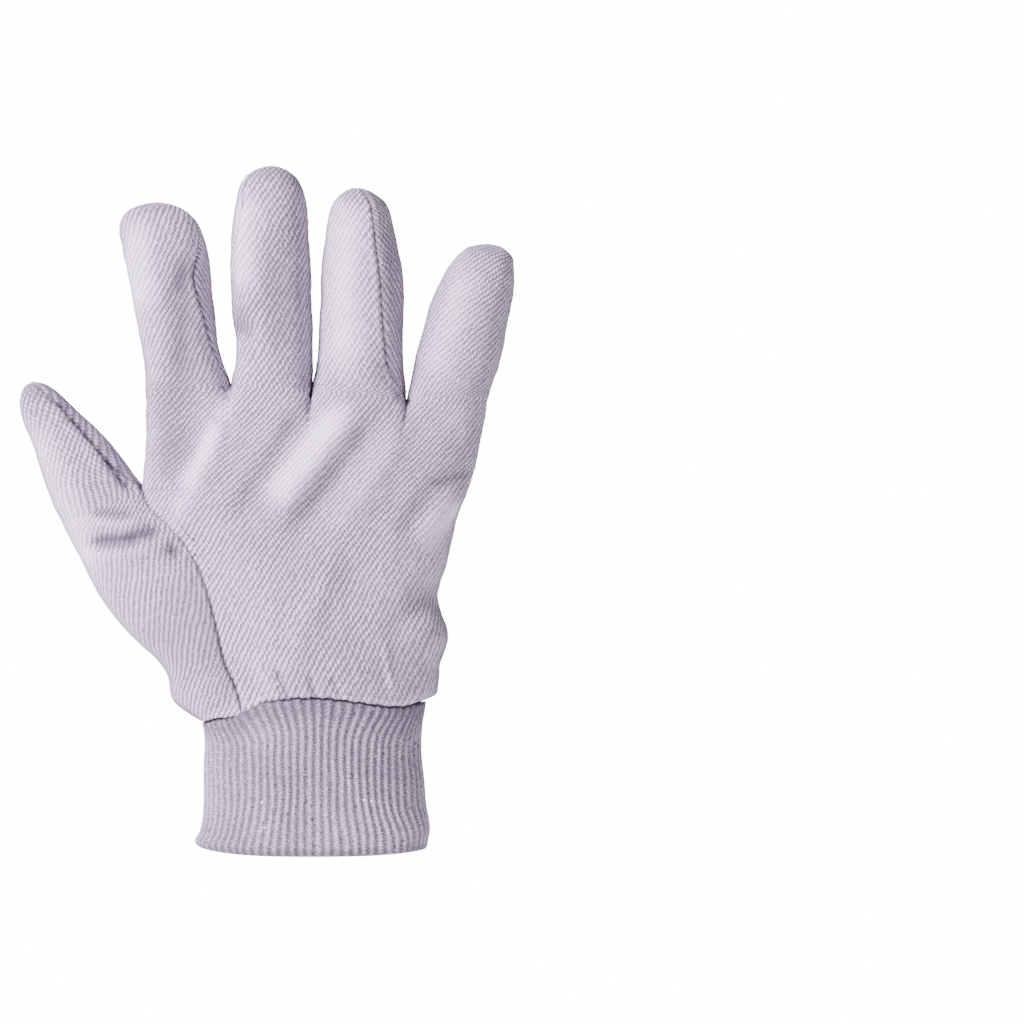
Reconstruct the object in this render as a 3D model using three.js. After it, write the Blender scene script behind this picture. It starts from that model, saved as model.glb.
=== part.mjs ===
import * as THREE from 'three';

// A cotton work glove for the left hand, kept in the form that it has when worn: fingers up along +Z,
// the palm towards -Y, the thumb towards -X. The origin is the centre of the wrist opening.
// The body is sewn from cut cloth: one palm piece with the fronts of the four fingers, three back
// pieces, and a thumb of two pieces. A ribbed knit cuff closes round the wrist.

// Sizes in millimetres
const CUFF_HEIGHT = 55.4;
const CUFF_WIDTH = 79;
const CUFF_DEPTH = 38;
const KNIT_THICKNESS = 2.4;
const RIB_COUNT = 62;
const RIB_RELIEF = 0.9;
const HEM_FLARE = 1.8;
const CLOTH_THICKNESS = 1.5;
const SEAM_GAP = 0.3;
const CUFF_SEAM_GAP = 0.7;
const HAND_HEIGHT = 107;
const PALM_DEPTH = 40;
const WEB_DEPTH = 24;
const CROTCH_HEIGHT = 73;
const THUMB_LENGTH = 50.5;
const THUMB_WIDTH = 32;
const THUMB_DEPTH = 26;
const THUMB_LEAN = 31;
const THUMB_FORWARD = 5;
const THUMB_CURL = 7;
const FINGER_CURL = 7;
const SEAM_SINK = 1.6;

const CLOTH_COLOUR = 0xd6cfdc;
const KNIT_COLOUR = 0xc3bbca;
const ROUGHNESS = 0.95;

// Fingers from the thumb side to the outer side. base is the width at the finger's root, web is how
// far the web on its right lies above the top of the hand.
const FINGERS = [
  { name: 'index', base: 30, width: 28.4, depth: 24.6, length: 67, lean: -9.1, web: 3.9 },
  { name: 'middle', base: 28.6, width: 28, depth: 25, length: 78.5, lean: 0.9, web: 1.2 },
  { name: 'ring', base: 33.7, width: 29.4, depth: 24.6, length: 72.9, lean: -0.5, web: -1 },
  { name: 'little', base: 29.5, width: 28.4, depth: 23, length: 56.5, lean: 16, web: -1 },
];

// Outline of each finger: at is a share of its length, left and right are shares of half its width
// to either side of its axis, and deep is a share of half its depth.
const FINGER_OUTLINES = {
  index: [
    { at: 0, left: 1.05, right: 1.04, deep: 0.98 },
    { at: 0.1, left: 1.0, right: 0.97, deep: 1.0 },
    { at: 0.22, left: 0.99, right: 0.9, deep: 0.99 },
    { at: 0.42, left: 0.99, right: 0.96, deep: 1.0 },
    { at: 0.62, left: 0.99, right: 1.03, deep: 1.0 },
    { at: 0.78, left: 1.02, right: 0.99, deep: 0.95 },
    { at: 0.88, left: 1.05, right: 0.82, deep: 0.84 },
    { at: 0.945, left: 0.95, right: 0.54, deep: 0.64 },
    { at: 0.98, left: 0.72, right: 0.24, deep: 0.42 },
    { at: 1, left: 0.23, right: -0.23, deep: 0 },
  ],
  middle: [
    { at: 0, left: 1.0, right: 1.02, deep: 0.98 },
    { at: 0.08, left: 0.93, right: 1.04, deep: 1.0 },
    { at: 0.22, left: 0.9, right: 1.02, deep: 0.99 },
    { at: 0.34, left: 1.01, right: 0.99, deep: 1.0 },
    { at: 0.5, left: 1.08, right: 0.96, deep: 1.0 },
    { at: 0.66, left: 1.05, right: 0.93, deep: 0.98 },
    { at: 0.8, left: 0.99, right: 0.84, deep: 0.92 },
    { at: 0.9, left: 0.86, right: 0.72, deep: 0.78 },
    { at: 0.96, left: 0.6, right: 0.48, deep: 0.54 },
    { at: 1, left: 0, right: 0, deep: 0 },
  ],
  ring: [
    { at: 0, left: 1.13, right: 1.14, deep: 0.98 },
    { at: 0.11, left: 1.05, right: 1.08, deep: 1.0 },
    { at: 0.28, left: 0.95, right: 1.09, deep: 1.0 },
    { at: 0.46, left: 0.9, right: 1.12, deep: 1.0 },
    { at: 0.58, left: 0.88, right: 1.11, deep: 1.0 },
    { at: 0.7, left: 0.82, right: 1.0, deep: 0.96 },
    { at: 0.82, left: 0.74, right: 0.89, deep: 0.88 },
    { at: 0.905, left: 0.63, right: 0.76, deep: 0.74 },
    { at: 0.96, left: 0.43, right: 0.5, deep: 0.52 },
    { at: 1, left: 0, right: 0, deep: 0 },
  ],
  little: [
    { at: 0, left: 1.03, right: 1.02, deep: 0.98 },
    { at: 0.09, left: 1.01, right: 0.99, deep: 1.0 },
    { at: 0.25, left: 1.06, right: 0.99, deep: 1.0 },
    { at: 0.42, left: 1.08, right: 0.97, deep: 1.0 },
    { at: 0.58, left: 1.06, right: 0.92, deep: 0.98 },
    { at: 0.71, left: 0.97, right: 0.86, deep: 0.92 },
    { at: 0.82, left: 0.84, right: 0.78, deep: 0.84 },
    { at: 0.91, left: 0.66, right: 0.66, deep: 0.7 },
    { at: 0.965, left: 0.38, right: 0.53, deep: 0.46 },
    { at: 1, left: -0.12, right: 0.12, deep: 0 },
  ],
};

// The hand from the cuff seam up to the finger roots: at is a share of the hand's height, left and
// right are its edges as shares of half the width over the four roots, front and back are shares of
// half the palm's depth.
const HAND_ROWS = [
  { at: 0, left: -0.65, right: 0.65, front: 0.95, back: 0.95 },
  { at: 0.03, left: -0.715, right: 0.7, front: 1.03, back: 1.02 },
  { at: 0.075, left: -0.75, right: 0.725, front: 1.09, back: 1.04 },
  { at: 0.13, left: -0.8, right: 0.738, front: 1.12, back: 1.04 },
  { at: 0.22, left: -0.9, right: 0.79, front: 1.13, back: 1.0 },
  { at: 0.34, left: -0.985, right: 0.725, front: 1.1, back: 0.95 },
  { at: 0.46, left: -1.03, right: 0.785, front: 1.04, back: 0.93 },
  { at: 0.6, left: -1.04, right: 0.835, front: 0.97, back: 0.9 },
  { at: 0.68, left: -1.0, right: 0.885, front: 0.93, back: 0.88 },
  { at: 0.78, left: -0.975, right: 0.95, front: 0.88, back: 0.84 },
  { at: 0.9, left: -0.97, right: 0.985, front: 0.82, back: 0.8 },
  { at: 1, left: -0.97, right: 1.03, front: 0.78, back: 0.77 },
];

// The seam round the root of the thumb, from the cuff up to the crotch of the thumb. seam is where it
// runs over the palm and edge is the outline of the thumb, as shares of half the width over the
// roots; seamUp and edgeUp are their heights as shares of the crotch's height. turn and backTurn are
// the angles of the two seams round the thumb, in degrees from its inner side over the front, and
// ahead is how far the thumb comes forward, as a share of its full forward reach.
const THUMB_ROOT_ROWS = [
  { at: 0, seam: -0.4, seamUp: 0, edge: -0.7, edgeUp: -0.08, turn: 55, backTurn: 212, ahead: 0 },
  { at: 0.08, seam: -0.44, seamUp: 0.07, edge: -0.81, edgeUp: 0.0, turn: 55, backTurn: 218, ahead: 0.1 },
  { at: 0.18, seam: -0.5, seamUp: 0.18, edge: -0.85, edgeUp: 0.12, turn: 54, backTurn: 226, ahead: 0.3 },
  { at: 0.32, seam: -0.54, seamUp: 0.33, edge: -1.035, edgeUp: 0.28, turn: 52, backTurn: 238, ahead: 0.6 },
  { at: 0.5, seam: -0.59, seamUp: 0.5, edge: -1.2, edgeUp: 0.45, turn: 50, backTurn: 247, ahead: 0.85 },
  { at: 0.66, seam: -0.66, seamUp: 0.66, edge: -1.3, edgeUp: 0.59, turn: 48, backTurn: 255, ahead: 1 },
  { at: 0.8, seam: -0.77, seamUp: 0.79, edge: -1.365, edgeUp: 0.7, turn: 43, backTurn: 272, ahead: 1 },
  { at: 0.92, seam: -0.92, seamUp: 0.91, edge: -1.42, edgeUp: 0.78, turn: 32, backTurn: 305, ahead: 1 },
  { at: 1, seam: -0.985, seamUp: 1.01, edge: -1.45, edgeUp: 0.825, turn: 16, backTurn: 376, ahead: 1 },
];

// The free thumb: at is a share of its length, half and deep are shares of half its width and depth,
// and turn is the angle of its inner seam, in degrees from its inner side over the front.
const THUMB_ROWS = [
  { at: 0, half: 1, deep: 1, turn: 16 },
  { at: 0.18, half: 0.95, deep: 0.96, turn: 38 },
  { at: 0.36, half: 0.87, deep: 0.9, turn: 46 },
  { at: 0.52, half: 0.76, deep: 0.83, turn: 46 },
  { at: 0.66, half: 0.63, deep: 0.76, turn: 44 },
  { at: 0.78, half: 0.55, deep: 0.68, turn: 46 },
  { at: 0.88, half: 0.44, deep: 0.55, turn: 56 },
  { at: 0.95, half: 0.3, deep: 0.38, turn: 62 },
  { at: 1, half: 0, deep: 0, turn: 62 },
];

// Shares of the hand's width at which the columns of the front and back part, at the cuff seam; at the
// finger roots they end at the webs. The first two of the back are seams.
const FRONT_PARTS = [0, 0.38, 0.57, 0.79, 1];
const BACK_PARTS = [0, 0.28, 0.7, 0.86, 1];

// Where the cuff seam runs lower than at the middle of the front: x as a share of half the cuff's
// width, and the drop as a share of the cuff's height, on the front and on the back.
const CUFF_SEAM_ROWS = [
  { at: -1, front: 0.17, back: 0.17 },
  { at: -0.85, front: 0.135, back: 0.1 },
  { at: -0.65, front: 0.11, back: 0.05 },
  { at: -0.45, front: 0.03, back: 0.03 },
  { at: -0.2, front: 0.005, back: 0.02 },
  { at: 0.1, front: 0, back: 0.015 },
  { at: 0.4, front: 0.025, back: 0.02 },
  { at: 0.72, front: 0.055, back: 0.03 },
  { at: 0.9, front: 0.045, back: 0.04 },
  { at: 1, front: 0.03, back: 0.03 },
];

// Dents and folds in the cloth. x and up are the middle of each, as shares of half the width over the
// roots and of the hand's height; tilt is its direction in degrees from +X; run and wide are its half
// length and half width, as shares of the hand's height; rise is its height as a share of the palm's
// depth, below 0 where it sinks.
const FOLDS = [
  { side: 'front', x: 0.06, up: 0.79, tilt: 54, run: 0.16, wide: 0.045, rise: 0.035 },
  { side: 'front', x: -0.1, up: 0.8, tilt: 54, run: 0.16, wide: 0.045, rise: -0.035 },
  { side: 'front', x: 0.26, up: 0.74, tilt: 52, run: 0.2, wide: 0.05, rise: -0.035 },
  { side: 'front', x: 0.5, up: 0.66, tilt: 50, run: 0.2, wide: 0.05, rise: 0.03 },
  { side: 'front', x: 0.72, up: 0.66, tilt: 49, run: 0.13, wide: 0.03, rise: -0.045 },
  { side: 'front', x: -0.36, up: 0.82, tilt: 60, run: 0.16, wide: 0.045, rise: -0.03 },
  { side: 'front', x: 0.35, up: 0.34, tilt: 62, run: 0.2, wide: 0.05, rise: -0.03 },
  { side: 'front', x: 0.0, up: 0.3, tilt: 66, run: 0.2, wide: 0.06, rise: 0.03 },
  { side: 'front', x: -0.16, up: 0.16, tilt: 70, run: 0.12, wide: 0.035, rise: -0.04 },
  { side: 'front', x: -1.12, up: 0.6, tilt: -4, run: 0.07, wide: 0.025, rise: -0.045 },
  { side: 'front', x: -1.08, up: 0.51, tilt: 8, run: 0.1, wide: 0.025, rise: -0.04 },
  { side: 'back', x: -0.1, up: 0.55, tilt: 118, run: 0.2, wide: 0.05, rise: 0.03 },
  { side: 'back', x: 0.12, up: 0.28, tilt: 30, run: 0.18, wide: 0.04, rise: -0.035 },
  { side: 'back', x: -0.6, up: 0.3, tilt: 25, run: 0.14, wide: 0.04, rise: -0.03 },
  { side: 'back', x: 0.6, up: 0.4, tilt: 75, run: 0.2, wide: 0.05, rise: -0.03 },
];

// How finely the solids are cut
const FINGER_COLUMNS = 6;
const FINGER_ROWS = [0, 0.05, 0.12, 0.21, 0.31, 0.42, 0.53, 0.64, 0.74, 0.82, 0.885, 0.935, 0.975, 1];
const ROOT_ROWS = [0, 0.035, 0.09, 0.17, 0.26, 0.36, 0.46, 0.56, 0.66, 0.75, 0.83, 0.895, 0.945, 0.98, 1];
const PALM_TOP_ROWS = [0.2, 0.42, 0.62, 0.78, 0.89, 0.96, 1];
const THUMB_FRONT_COLUMNS = 7;
const THUMB_BACK_COLUMNS = 6;
const FREE_THUMB_ROWS = [0.09, 0.2, 0.32, 0.44, 0.56, 0.67, 0.77, 0.855, 0.92, 0.97, 1];
const CUFF_LEVELS = [0, 0.09, 0.36, 0.7, 1];

// How far round the thumb's crotch, how often and how strongly the cloth is evened out
const RELAX_REACH = 13;
const RELAX_ROUNDS = 4;
const RELAX_STEP = 0.5;

// Powers of the superellipses across the hand and across a finger
const OVAL_POWER = 2.3;
const FINGER_POWER = 2.15;

// Lengths over which one shape passes into the next: SETTLE names are shares of the height or length
// at hand, counted from its start
const ROOT_SETTLE = 0.08;
const FINGER_SETTLE = 0.12;
const THUMB_SETTLE = 0.3;
const FORWARD_SETTLE = 0.3;
const CROTCH_TIE = 0.1;
const HEM_SHARE = 0.14;
const ROOT_START_DEPTH = 0.4;
const THUMB_BACK_START = 20;

const HAND_WIDTH = FINGERS.reduce((sum, finger) => sum + finger.base, 0);
const HALF_HAND = HAND_WIDTH / 2;
const CROTCH_SHARE = CROTCH_HEIGHT / HAND_HEIGHT;

const mix = (a, b, share) => a + (b - a) * share;
const clamp = THREE.MathUtils.clamp;
const radians = THREE.MathUtils.degToRad;
const ease = (share) => THREE.MathUtils.smoothstep(share, 0, 1);

// A smooth curve through one column of a table, by its at column
function column(rows, name) {
  const slope = (i) => {
    const before = rows[Math.max(i - 1, 0)];
    const after = rows[Math.min(i + 1, rows.length - 1)];
    return (after[name] - before[name]) / (after.at - before.at);
  };
  return (at) => {
    const share = clamp(at, rows[0].at, rows[rows.length - 1].at);
    let i = 0;
    while (i < rows.length - 2 && share > rows[i + 1].at) i += 1;
    const span = rows[i + 1].at - rows[i].at;
    const t = (share - rows[i].at) / span;
    const t2 = t * t;
    const t3 = t2 * t;
    return (2 * t3 - 3 * t2 + 1) * rows[i][name]
      + (t3 - 2 * t2 + t) * span * slope(i)
      + (3 * t2 - 2 * t3) * rows[i + 1][name]
      + (t3 - t2) * span * slope(i + 1);
  };
}

// All columns of a table as smooth curves
function curves(rows) {
  const names = Object.keys(rows[0]).filter((name) => name !== 'at');
  return Object.fromEntries(names.map((name) => [name, column(rows, name)]));
}

const hand = curves(HAND_ROWS);
const root = curves(THUMB_ROOT_ROWS);
const freeThumb = curves(THUMB_ROWS);
const cuffSeam = curves(CUFF_SEAM_ROWS);
const outlines = Object.fromEntries(
  Object.entries(FINGER_OUTLINES).map(([name, rows]) => [name, curves(rows)]),
);

const sideSign = (side) => (side === 'front' ? -1 : 1);

// Cosine or sine of a superellipse's angle, which keeps its sign
function power(value, exponent) {
  return Math.sign(value) * Math.abs(value) ** (2 / exponent);
}

// The angle on a superellipse at a share of its half width: -90 degrees at its left end
function angleAt(share, exponent) {
  return Math.asin(Math.sign(share) * Math.min(Math.abs(share), 1) ** (exponent / 2));
}

// Height of the cuff seam over the hem
function cuffSeamHeight(x, y) {
  const share = clamp(x / (CUFF_WIDTH / 2), -1, 1);
  const blend = ease(0.5 + y / (CUFF_DEPTH / 2));
  const drop = mix(cuffSeam.front(share), cuffSeam.back(share), blend);
  return CUFF_HEIGHT * (1 - drop);
}

// The webs between the fingers and the two outer ends of the finger roots
function rootPoints() {
  const points = [];
  let x = hand.left(1) * HALF_HAND;
  let web = 0;
  for (const finger of FINGERS) {
    points.push({ x, z: CUFF_HEIGHT + HAND_HEIGHT + web });
    x += finger.base;
    web = finger.web;
  }
  points.push({ x, z: CUFF_HEIGHT + HAND_HEIGHT + web });
  return points;
}

const ROOTS = rootPoints();

// One level across the thumb below its crotch: its ring, and the places of its three seams
function thumbLevel(at) {
  const crotch = CROTCH_HEIGHT;
  const seam = { x: root.seam(at) * HALF_HAND, z: CUFF_HEIGHT + root.seamUp(at) * crotch };
  const edge = { x: root.edge(at) * HALF_HAND, z: CUFF_HEIGHT + root.edgeUp(at) * crotch };
  const turn = radians(root.turn(at));
  const span = Math.hypot(seam.x - edge.x, seam.z - edge.z);
  const half = span / (1 + Math.cos(turn));
  const across = { x: (seam.x - edge.x) / span, z: (seam.z - edge.z) / span };
  return {
    turn,
    backTurn: radians(root.backTurn(at)),
    half,
    deep: mix(PALM_DEPTH * ROOT_START_DEPTH, THUMB_DEPTH / 2, ease(at)),
    across,
    centre: { x: edge.x + across.x * half, z: edge.z + across.z * half },
    forward: THUMB_FORWARD * root.ahead(at),
  };
}

// A point on the ring of a thumb level, at an angle from the inner side over the front
function ringPoint(level, angle) {
  const reach = level.half * Math.cos(angle);
  return new THREE.Vector3(
    level.centre.x + level.across.x * reach,
    -level.forward - level.deep * Math.sin(angle),
    level.centre.z + level.across.z * reach,
  );
}

const CROTCH_LEVEL = thumbLevel(1);
const CROTCH_POINT = ringPoint(CROTCH_LEVEL, CROTCH_LEVEL.turn);

// The edges and depths of the hand's own oval at a share of its height
function handRow(at) {
  const height = CUFF_HEIGHT + at * HAND_HEIGHT;
  const tie = Math.exp(-(((at - CROTCH_SHARE) / CROTCH_TIE) ** 2));
  const offset = CROTCH_POINT.x - hand.left(CROTCH_SHARE) * HALF_HAND;
  const left = hand.left(at) * HALF_HAND + offset * tie;
  const right = hand.right(at) * HALF_HAND;
  const forward = at > CROTCH_SHARE
    ? 1 - ease((at - CROTCH_SHARE) / (1 - CROTCH_SHARE))
    : ease(1 - (CROTCH_SHARE - at) / FORWARD_SETTLE);
  return {
    left,
    right,
    height,
    middle: (left + right) / 2,
    half: (right - left) / 2,
    leftY: CROTCH_POINT.y * forward,
    front: hand.front(at) * PALM_DEPTH / 2,
    back: hand.back(at) * PALM_DEPTH / 2,
  };
}

// A point on the hand's oval at a place across it
function ovalPoint(row, side, x) {
  const share = clamp((x - row.middle) / row.half, -1, 1);
  const depth = (side === 'front' ? row.front : row.back)
    * (1 - Math.abs(share) ** OVAL_POWER) ** (1 / OVAL_POWER);
  const lean = row.leftY * ((1 - share) / 2) ** 4;
  return lean + sideSign(side) * depth;
}

// Where the two seams of the thumb reach the cuff, as angles round the wrist
const WRIST_SEAM_SHARE = Math.abs(THUMB_ROOT_ROWS[0].seam) * HALF_HAND / (CUFF_WIDTH / 2);
const WRIST_SEAM_ANGLES = {
  front: Math.PI - Math.acos(WRIST_SEAM_SHARE ** (OVAL_POWER / 2)),
  back: Math.PI + radians(THUMB_BACK_START),
};

// The wrist oval at the cuff seam, by its angle from the right end over the front
function wristPoint(angle, grow = 0) {
  const x = (CUFF_WIDTH / 2 + grow) * power(Math.cos(angle), OVAL_POWER);
  const y = -(CUFF_DEPTH / 2 + grow) * power(Math.sin(angle), OVAL_POWER);
  return new THREE.Vector3(x, y, cuffSeamHeight(x, y));
}

// The seams at the thumb's root, front or back, at a share of the crotch's height
function rootSeam(at, side) {
  const start = wristPoint(side === 'front' ? WRIST_SEAM_ANGLES.front : WRIST_SEAM_ANGLES.back);
  const level = thumbLevel(at);
  const point = ringPoint(level, side === 'front' ? level.turn : level.backTurn);
  const row = handRow(at * CROTCH_SHARE);
  const own = ovalPoint(row, side, point.x);
  const near = ease(Math.min(at / 0.15, (1 - at) / 0.2));
  const follow = mix(0.6, 0.5 * near, ease((1 - at) / 0.25));
  const shared = mix(point.y, own, follow) - sideSign(side) * SEAM_SINK * near;
  const place = new THREE.Vector3(point.x, shared, point.z);
  return start.lerp(place, ease(at / ROOT_SETTLE));
}

// A point of the hand: at is the share of its height, part and step say which column
function handPoint(side, at, part, step) {
  const row = handRow(at);
  const parts = side === 'front' ? FRONT_PARTS : BACK_PARTS;
  const last = parts.length - 1;
  const rootWidth = ROOTS[last].x - ROOTS[0].x;
  const settle = ease(at);
  const open = at < CROTCH_SHARE;
  const start = open
    ? rootSeam(at / CROTCH_SHARE, side)
    : new THREE.Vector3(row.left, row.leftY, row.height);
  if (!open) {
    const rise = (at - CROTCH_SHARE) / (1 - CROTCH_SHARE);
    start.z = mix(CROTCH_POINT.z, ROOTS[0].z, rise);
  }
  const edges = parts.map((share, i) => {
    const top = (ROOTS[i].x - ROOTS[0].x) / rootWidth;
    return i === 0 ? start.x : mix(row.left, row.right, mix(share, top, settle));
  });
  const toAngle = (x) => angleAt(clamp((x - row.middle) / row.half, -1, 1), OVAL_POWER);
  const share = step / FINGER_COLUMNS;
  const angle = mix(toAngle(edges[part]), toAngle(edges[part + 1]), share);
  const x = row.middle + row.half * power(Math.sin(angle), OVAL_POWER);
  const across = clamp((x - start.x) / (row.right - start.x), 0, 1);
  const nearCrotch = 1 - ease(Math.abs(at - CROTCH_SHARE) / (0.35 * CROTCH_SHARE));
  const fade = 1 - ease(across / mix(0.3, 0.1, nearCrotch));
  const fix = (start.y - ovalPoint(row, side, start.x)) * fade;
  const endZ = mix(cuffSeamHeight(CUFF_WIDTH / 2, 0), ROOTS[last].z, at);
  const seamZ = (place) => cuffSeamHeight(place, ovalPoint(row, side, place)) + at * HAND_HEIGHT;
  const low = 1 - ease(at / 0.3);
  const lowZ = seamZ(x) + (start.z - seamZ(start.x)) * fade;
  const z = mix(mix(start.z, endZ, across), lowZ, low);
  const own = new THREE.Vector3(x, ovalPoint(row, side, x) + fix, z);

  const fingerAngle = mix(-Math.PI / 2, Math.PI / 2, share);
  const finger = FINGERS[part];
  const web = ROOTS[part];
  const nextWeb = ROOTS[part + 1];
  const reach = (1 + power(Math.sin(fingerAngle), FINGER_POWER)) / 2;
  const bow = sideSign(side) * finger.depth / 2 * outlines[finger.name].deep(0);
  const rootX = mix(web.x, nextWeb.x, reach);
  const rootZ = mix(web.z, nextWeb.z, reach) - mix(ROOTS[0].z, ROOTS[last].z, across);
  const rootY = bow * power(Math.cos(fingerAngle), FINGER_POWER);
  const below = clamp((1 - at) * HAND_HEIGHT / WEB_DEPTH, 0, 1);
  const slide = ease(1 - below);
  const webShare = part === 0 ? share : part === last - 1 ? 1 - share : 1;
  const deepen = mix(slide, 1 - Math.sqrt(1 - (1 - below) ** 2), webShare);
  return new THREE.Vector3(mix(own.x, rootX, slide), mix(own.y, rootY, deepen), own.z + rootZ * slide);
}

// A point of a finger: at is the share of its length
function fingerPoint(side, part, at, step) {
  const finger = FINGERS[part];
  const outline = outlines[finger.name];
  const lean = radians(finger.lean);
  const along = { x: Math.sin(lean), z: Math.cos(lean) };
  const low = ROOTS[part];
  const high = ROOTS[part + 1];
  const axis = {
    x: (low.x + high.x) / 2 + along.x * finger.length * at,
    z: (low.z + high.z) / 2 + along.z * finger.length * at,
  };
  const free = ease(at / FINGER_SETTLE);
  const end = (point, share) => ({
    x: mix(point.x + along.x * finger.length * at, axis.x + along.z * share * finger.width / 2, free),
    z: mix(point.z + along.z * finger.length * at, axis.z - along.x * share * finger.width / 2, free),
  });
  const left = end(low, -outline.left(at));
  const right = end(high, outline.right(at));
  const angle = mix(-Math.PI / 2, Math.PI / 2, step / FINGER_COLUMNS);
  const reach = (1 + power(Math.sin(angle), FINGER_POWER)) / 2;
  const depth = Math.max(outline.deep(at), 0) * finger.depth / 2;
  return new THREE.Vector3(
    mix(left.x, right.x, reach),
    sideSign(side) * depth * power(Math.cos(angle), FINGER_POWER) - FINGER_CURL * at ** 1.7,
    mix(left.z, right.z, reach),
  );
}

// A point of the thumb's root, between the two seams round it
function thumbRootPoint(side, at, share) {
  const level = thumbLevel(at);
  const outer = mix(Math.PI, Math.PI + level.turn, ease(at));
  const from = side === 'front' ? level.turn : outer;
  const to = side === 'front' ? outer : level.backTurn;
  const ring = ringPoint(level, mix(from, to, share));
  const wristFrom = side === 'front' ? WRIST_SEAM_ANGLES.front : Math.PI;
  const wristTo = side === 'front' ? Math.PI : WRIST_SEAM_ANGLES.back;
  const point = wristPoint(mix(wristFrom, wristTo, share)).lerp(ring, ease(at / ROOT_SETTLE));
  const seam = rootSeam(at, side);
  const own = wristPoint(side === 'front' ? wristFrom : wristTo)
    .lerp(ringPoint(level, side === 'front' ? level.turn : level.backTurn), ease(at / ROOT_SETTLE));
  const near = side === 'front' ? 1 - share : share;
  const pull = ease((near - 0.6) / 0.4);
  return point.add(seam.sub(own).multiplyScalar(pull));
}

// A point of the free thumb
function freeThumbPoint(side, at, share) {
  const turn = radians(freeThumb.turn(at));
  const from = side === 'front' ? turn : turn + Math.PI;
  const angle = from + Math.PI * share;
  const lean = radians(THUMB_LEAN);
  const settle = ease(at / THUMB_SETTLE);
  const tilt = mix(Math.atan2(CROTCH_LEVEL.across.z, CROTCH_LEVEL.across.x), lean, settle);
  const half = freeThumb.half(at) * mix(CROTCH_LEVEL.half, THUMB_WIDTH / 2, settle);
  const reach = half * Math.cos(angle);
  const deep = freeThumb.deep(at) * THUMB_DEPTH / 2;
  return new THREE.Vector3(
    CROTCH_LEVEL.centre.x - Math.sin(lean) * THUMB_LENGTH * at + Math.cos(tilt) * reach,
    -THUMB_FORWARD - THUMB_CURL * at ** 1.5 - deep * Math.sin(angle),
    CROTCH_LEVEL.centre.z + Math.cos(lean) * THUMB_LENGTH * at + Math.sin(tilt) * reach,
  );
}

// How far the dents and folds lift the cloth at a place
function foldLift(side, x, z) {
  let lift = 0;
  for (const fold of FOLDS) {
    if (fold.side !== side) continue;
    const tilt = radians(fold.tilt);
    const dx = x - fold.x * HALF_HAND;
    const dz = z - CUFF_HEIGHT - fold.up * HAND_HEIGHT;
    const along = (dx * Math.cos(tilt) + dz * Math.sin(tilt)) / (fold.run * HAND_HEIGHT);
    const off = (dz * Math.cos(tilt) - dx * Math.sin(tilt)) / (fold.wide * HAND_HEIGHT);
    lift += fold.rise * PALM_DEPTH * Math.exp(-off * off - along ** 4);
  }
  return lift;
}

const WELD = 0.01;
const STEPS = [-1, 0, 1];
const NEIGHBOURS = STEPS.flatMap((x) => STEPS.flatMap((y) => STEPS.map((z) => [x, y, z])));

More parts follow.
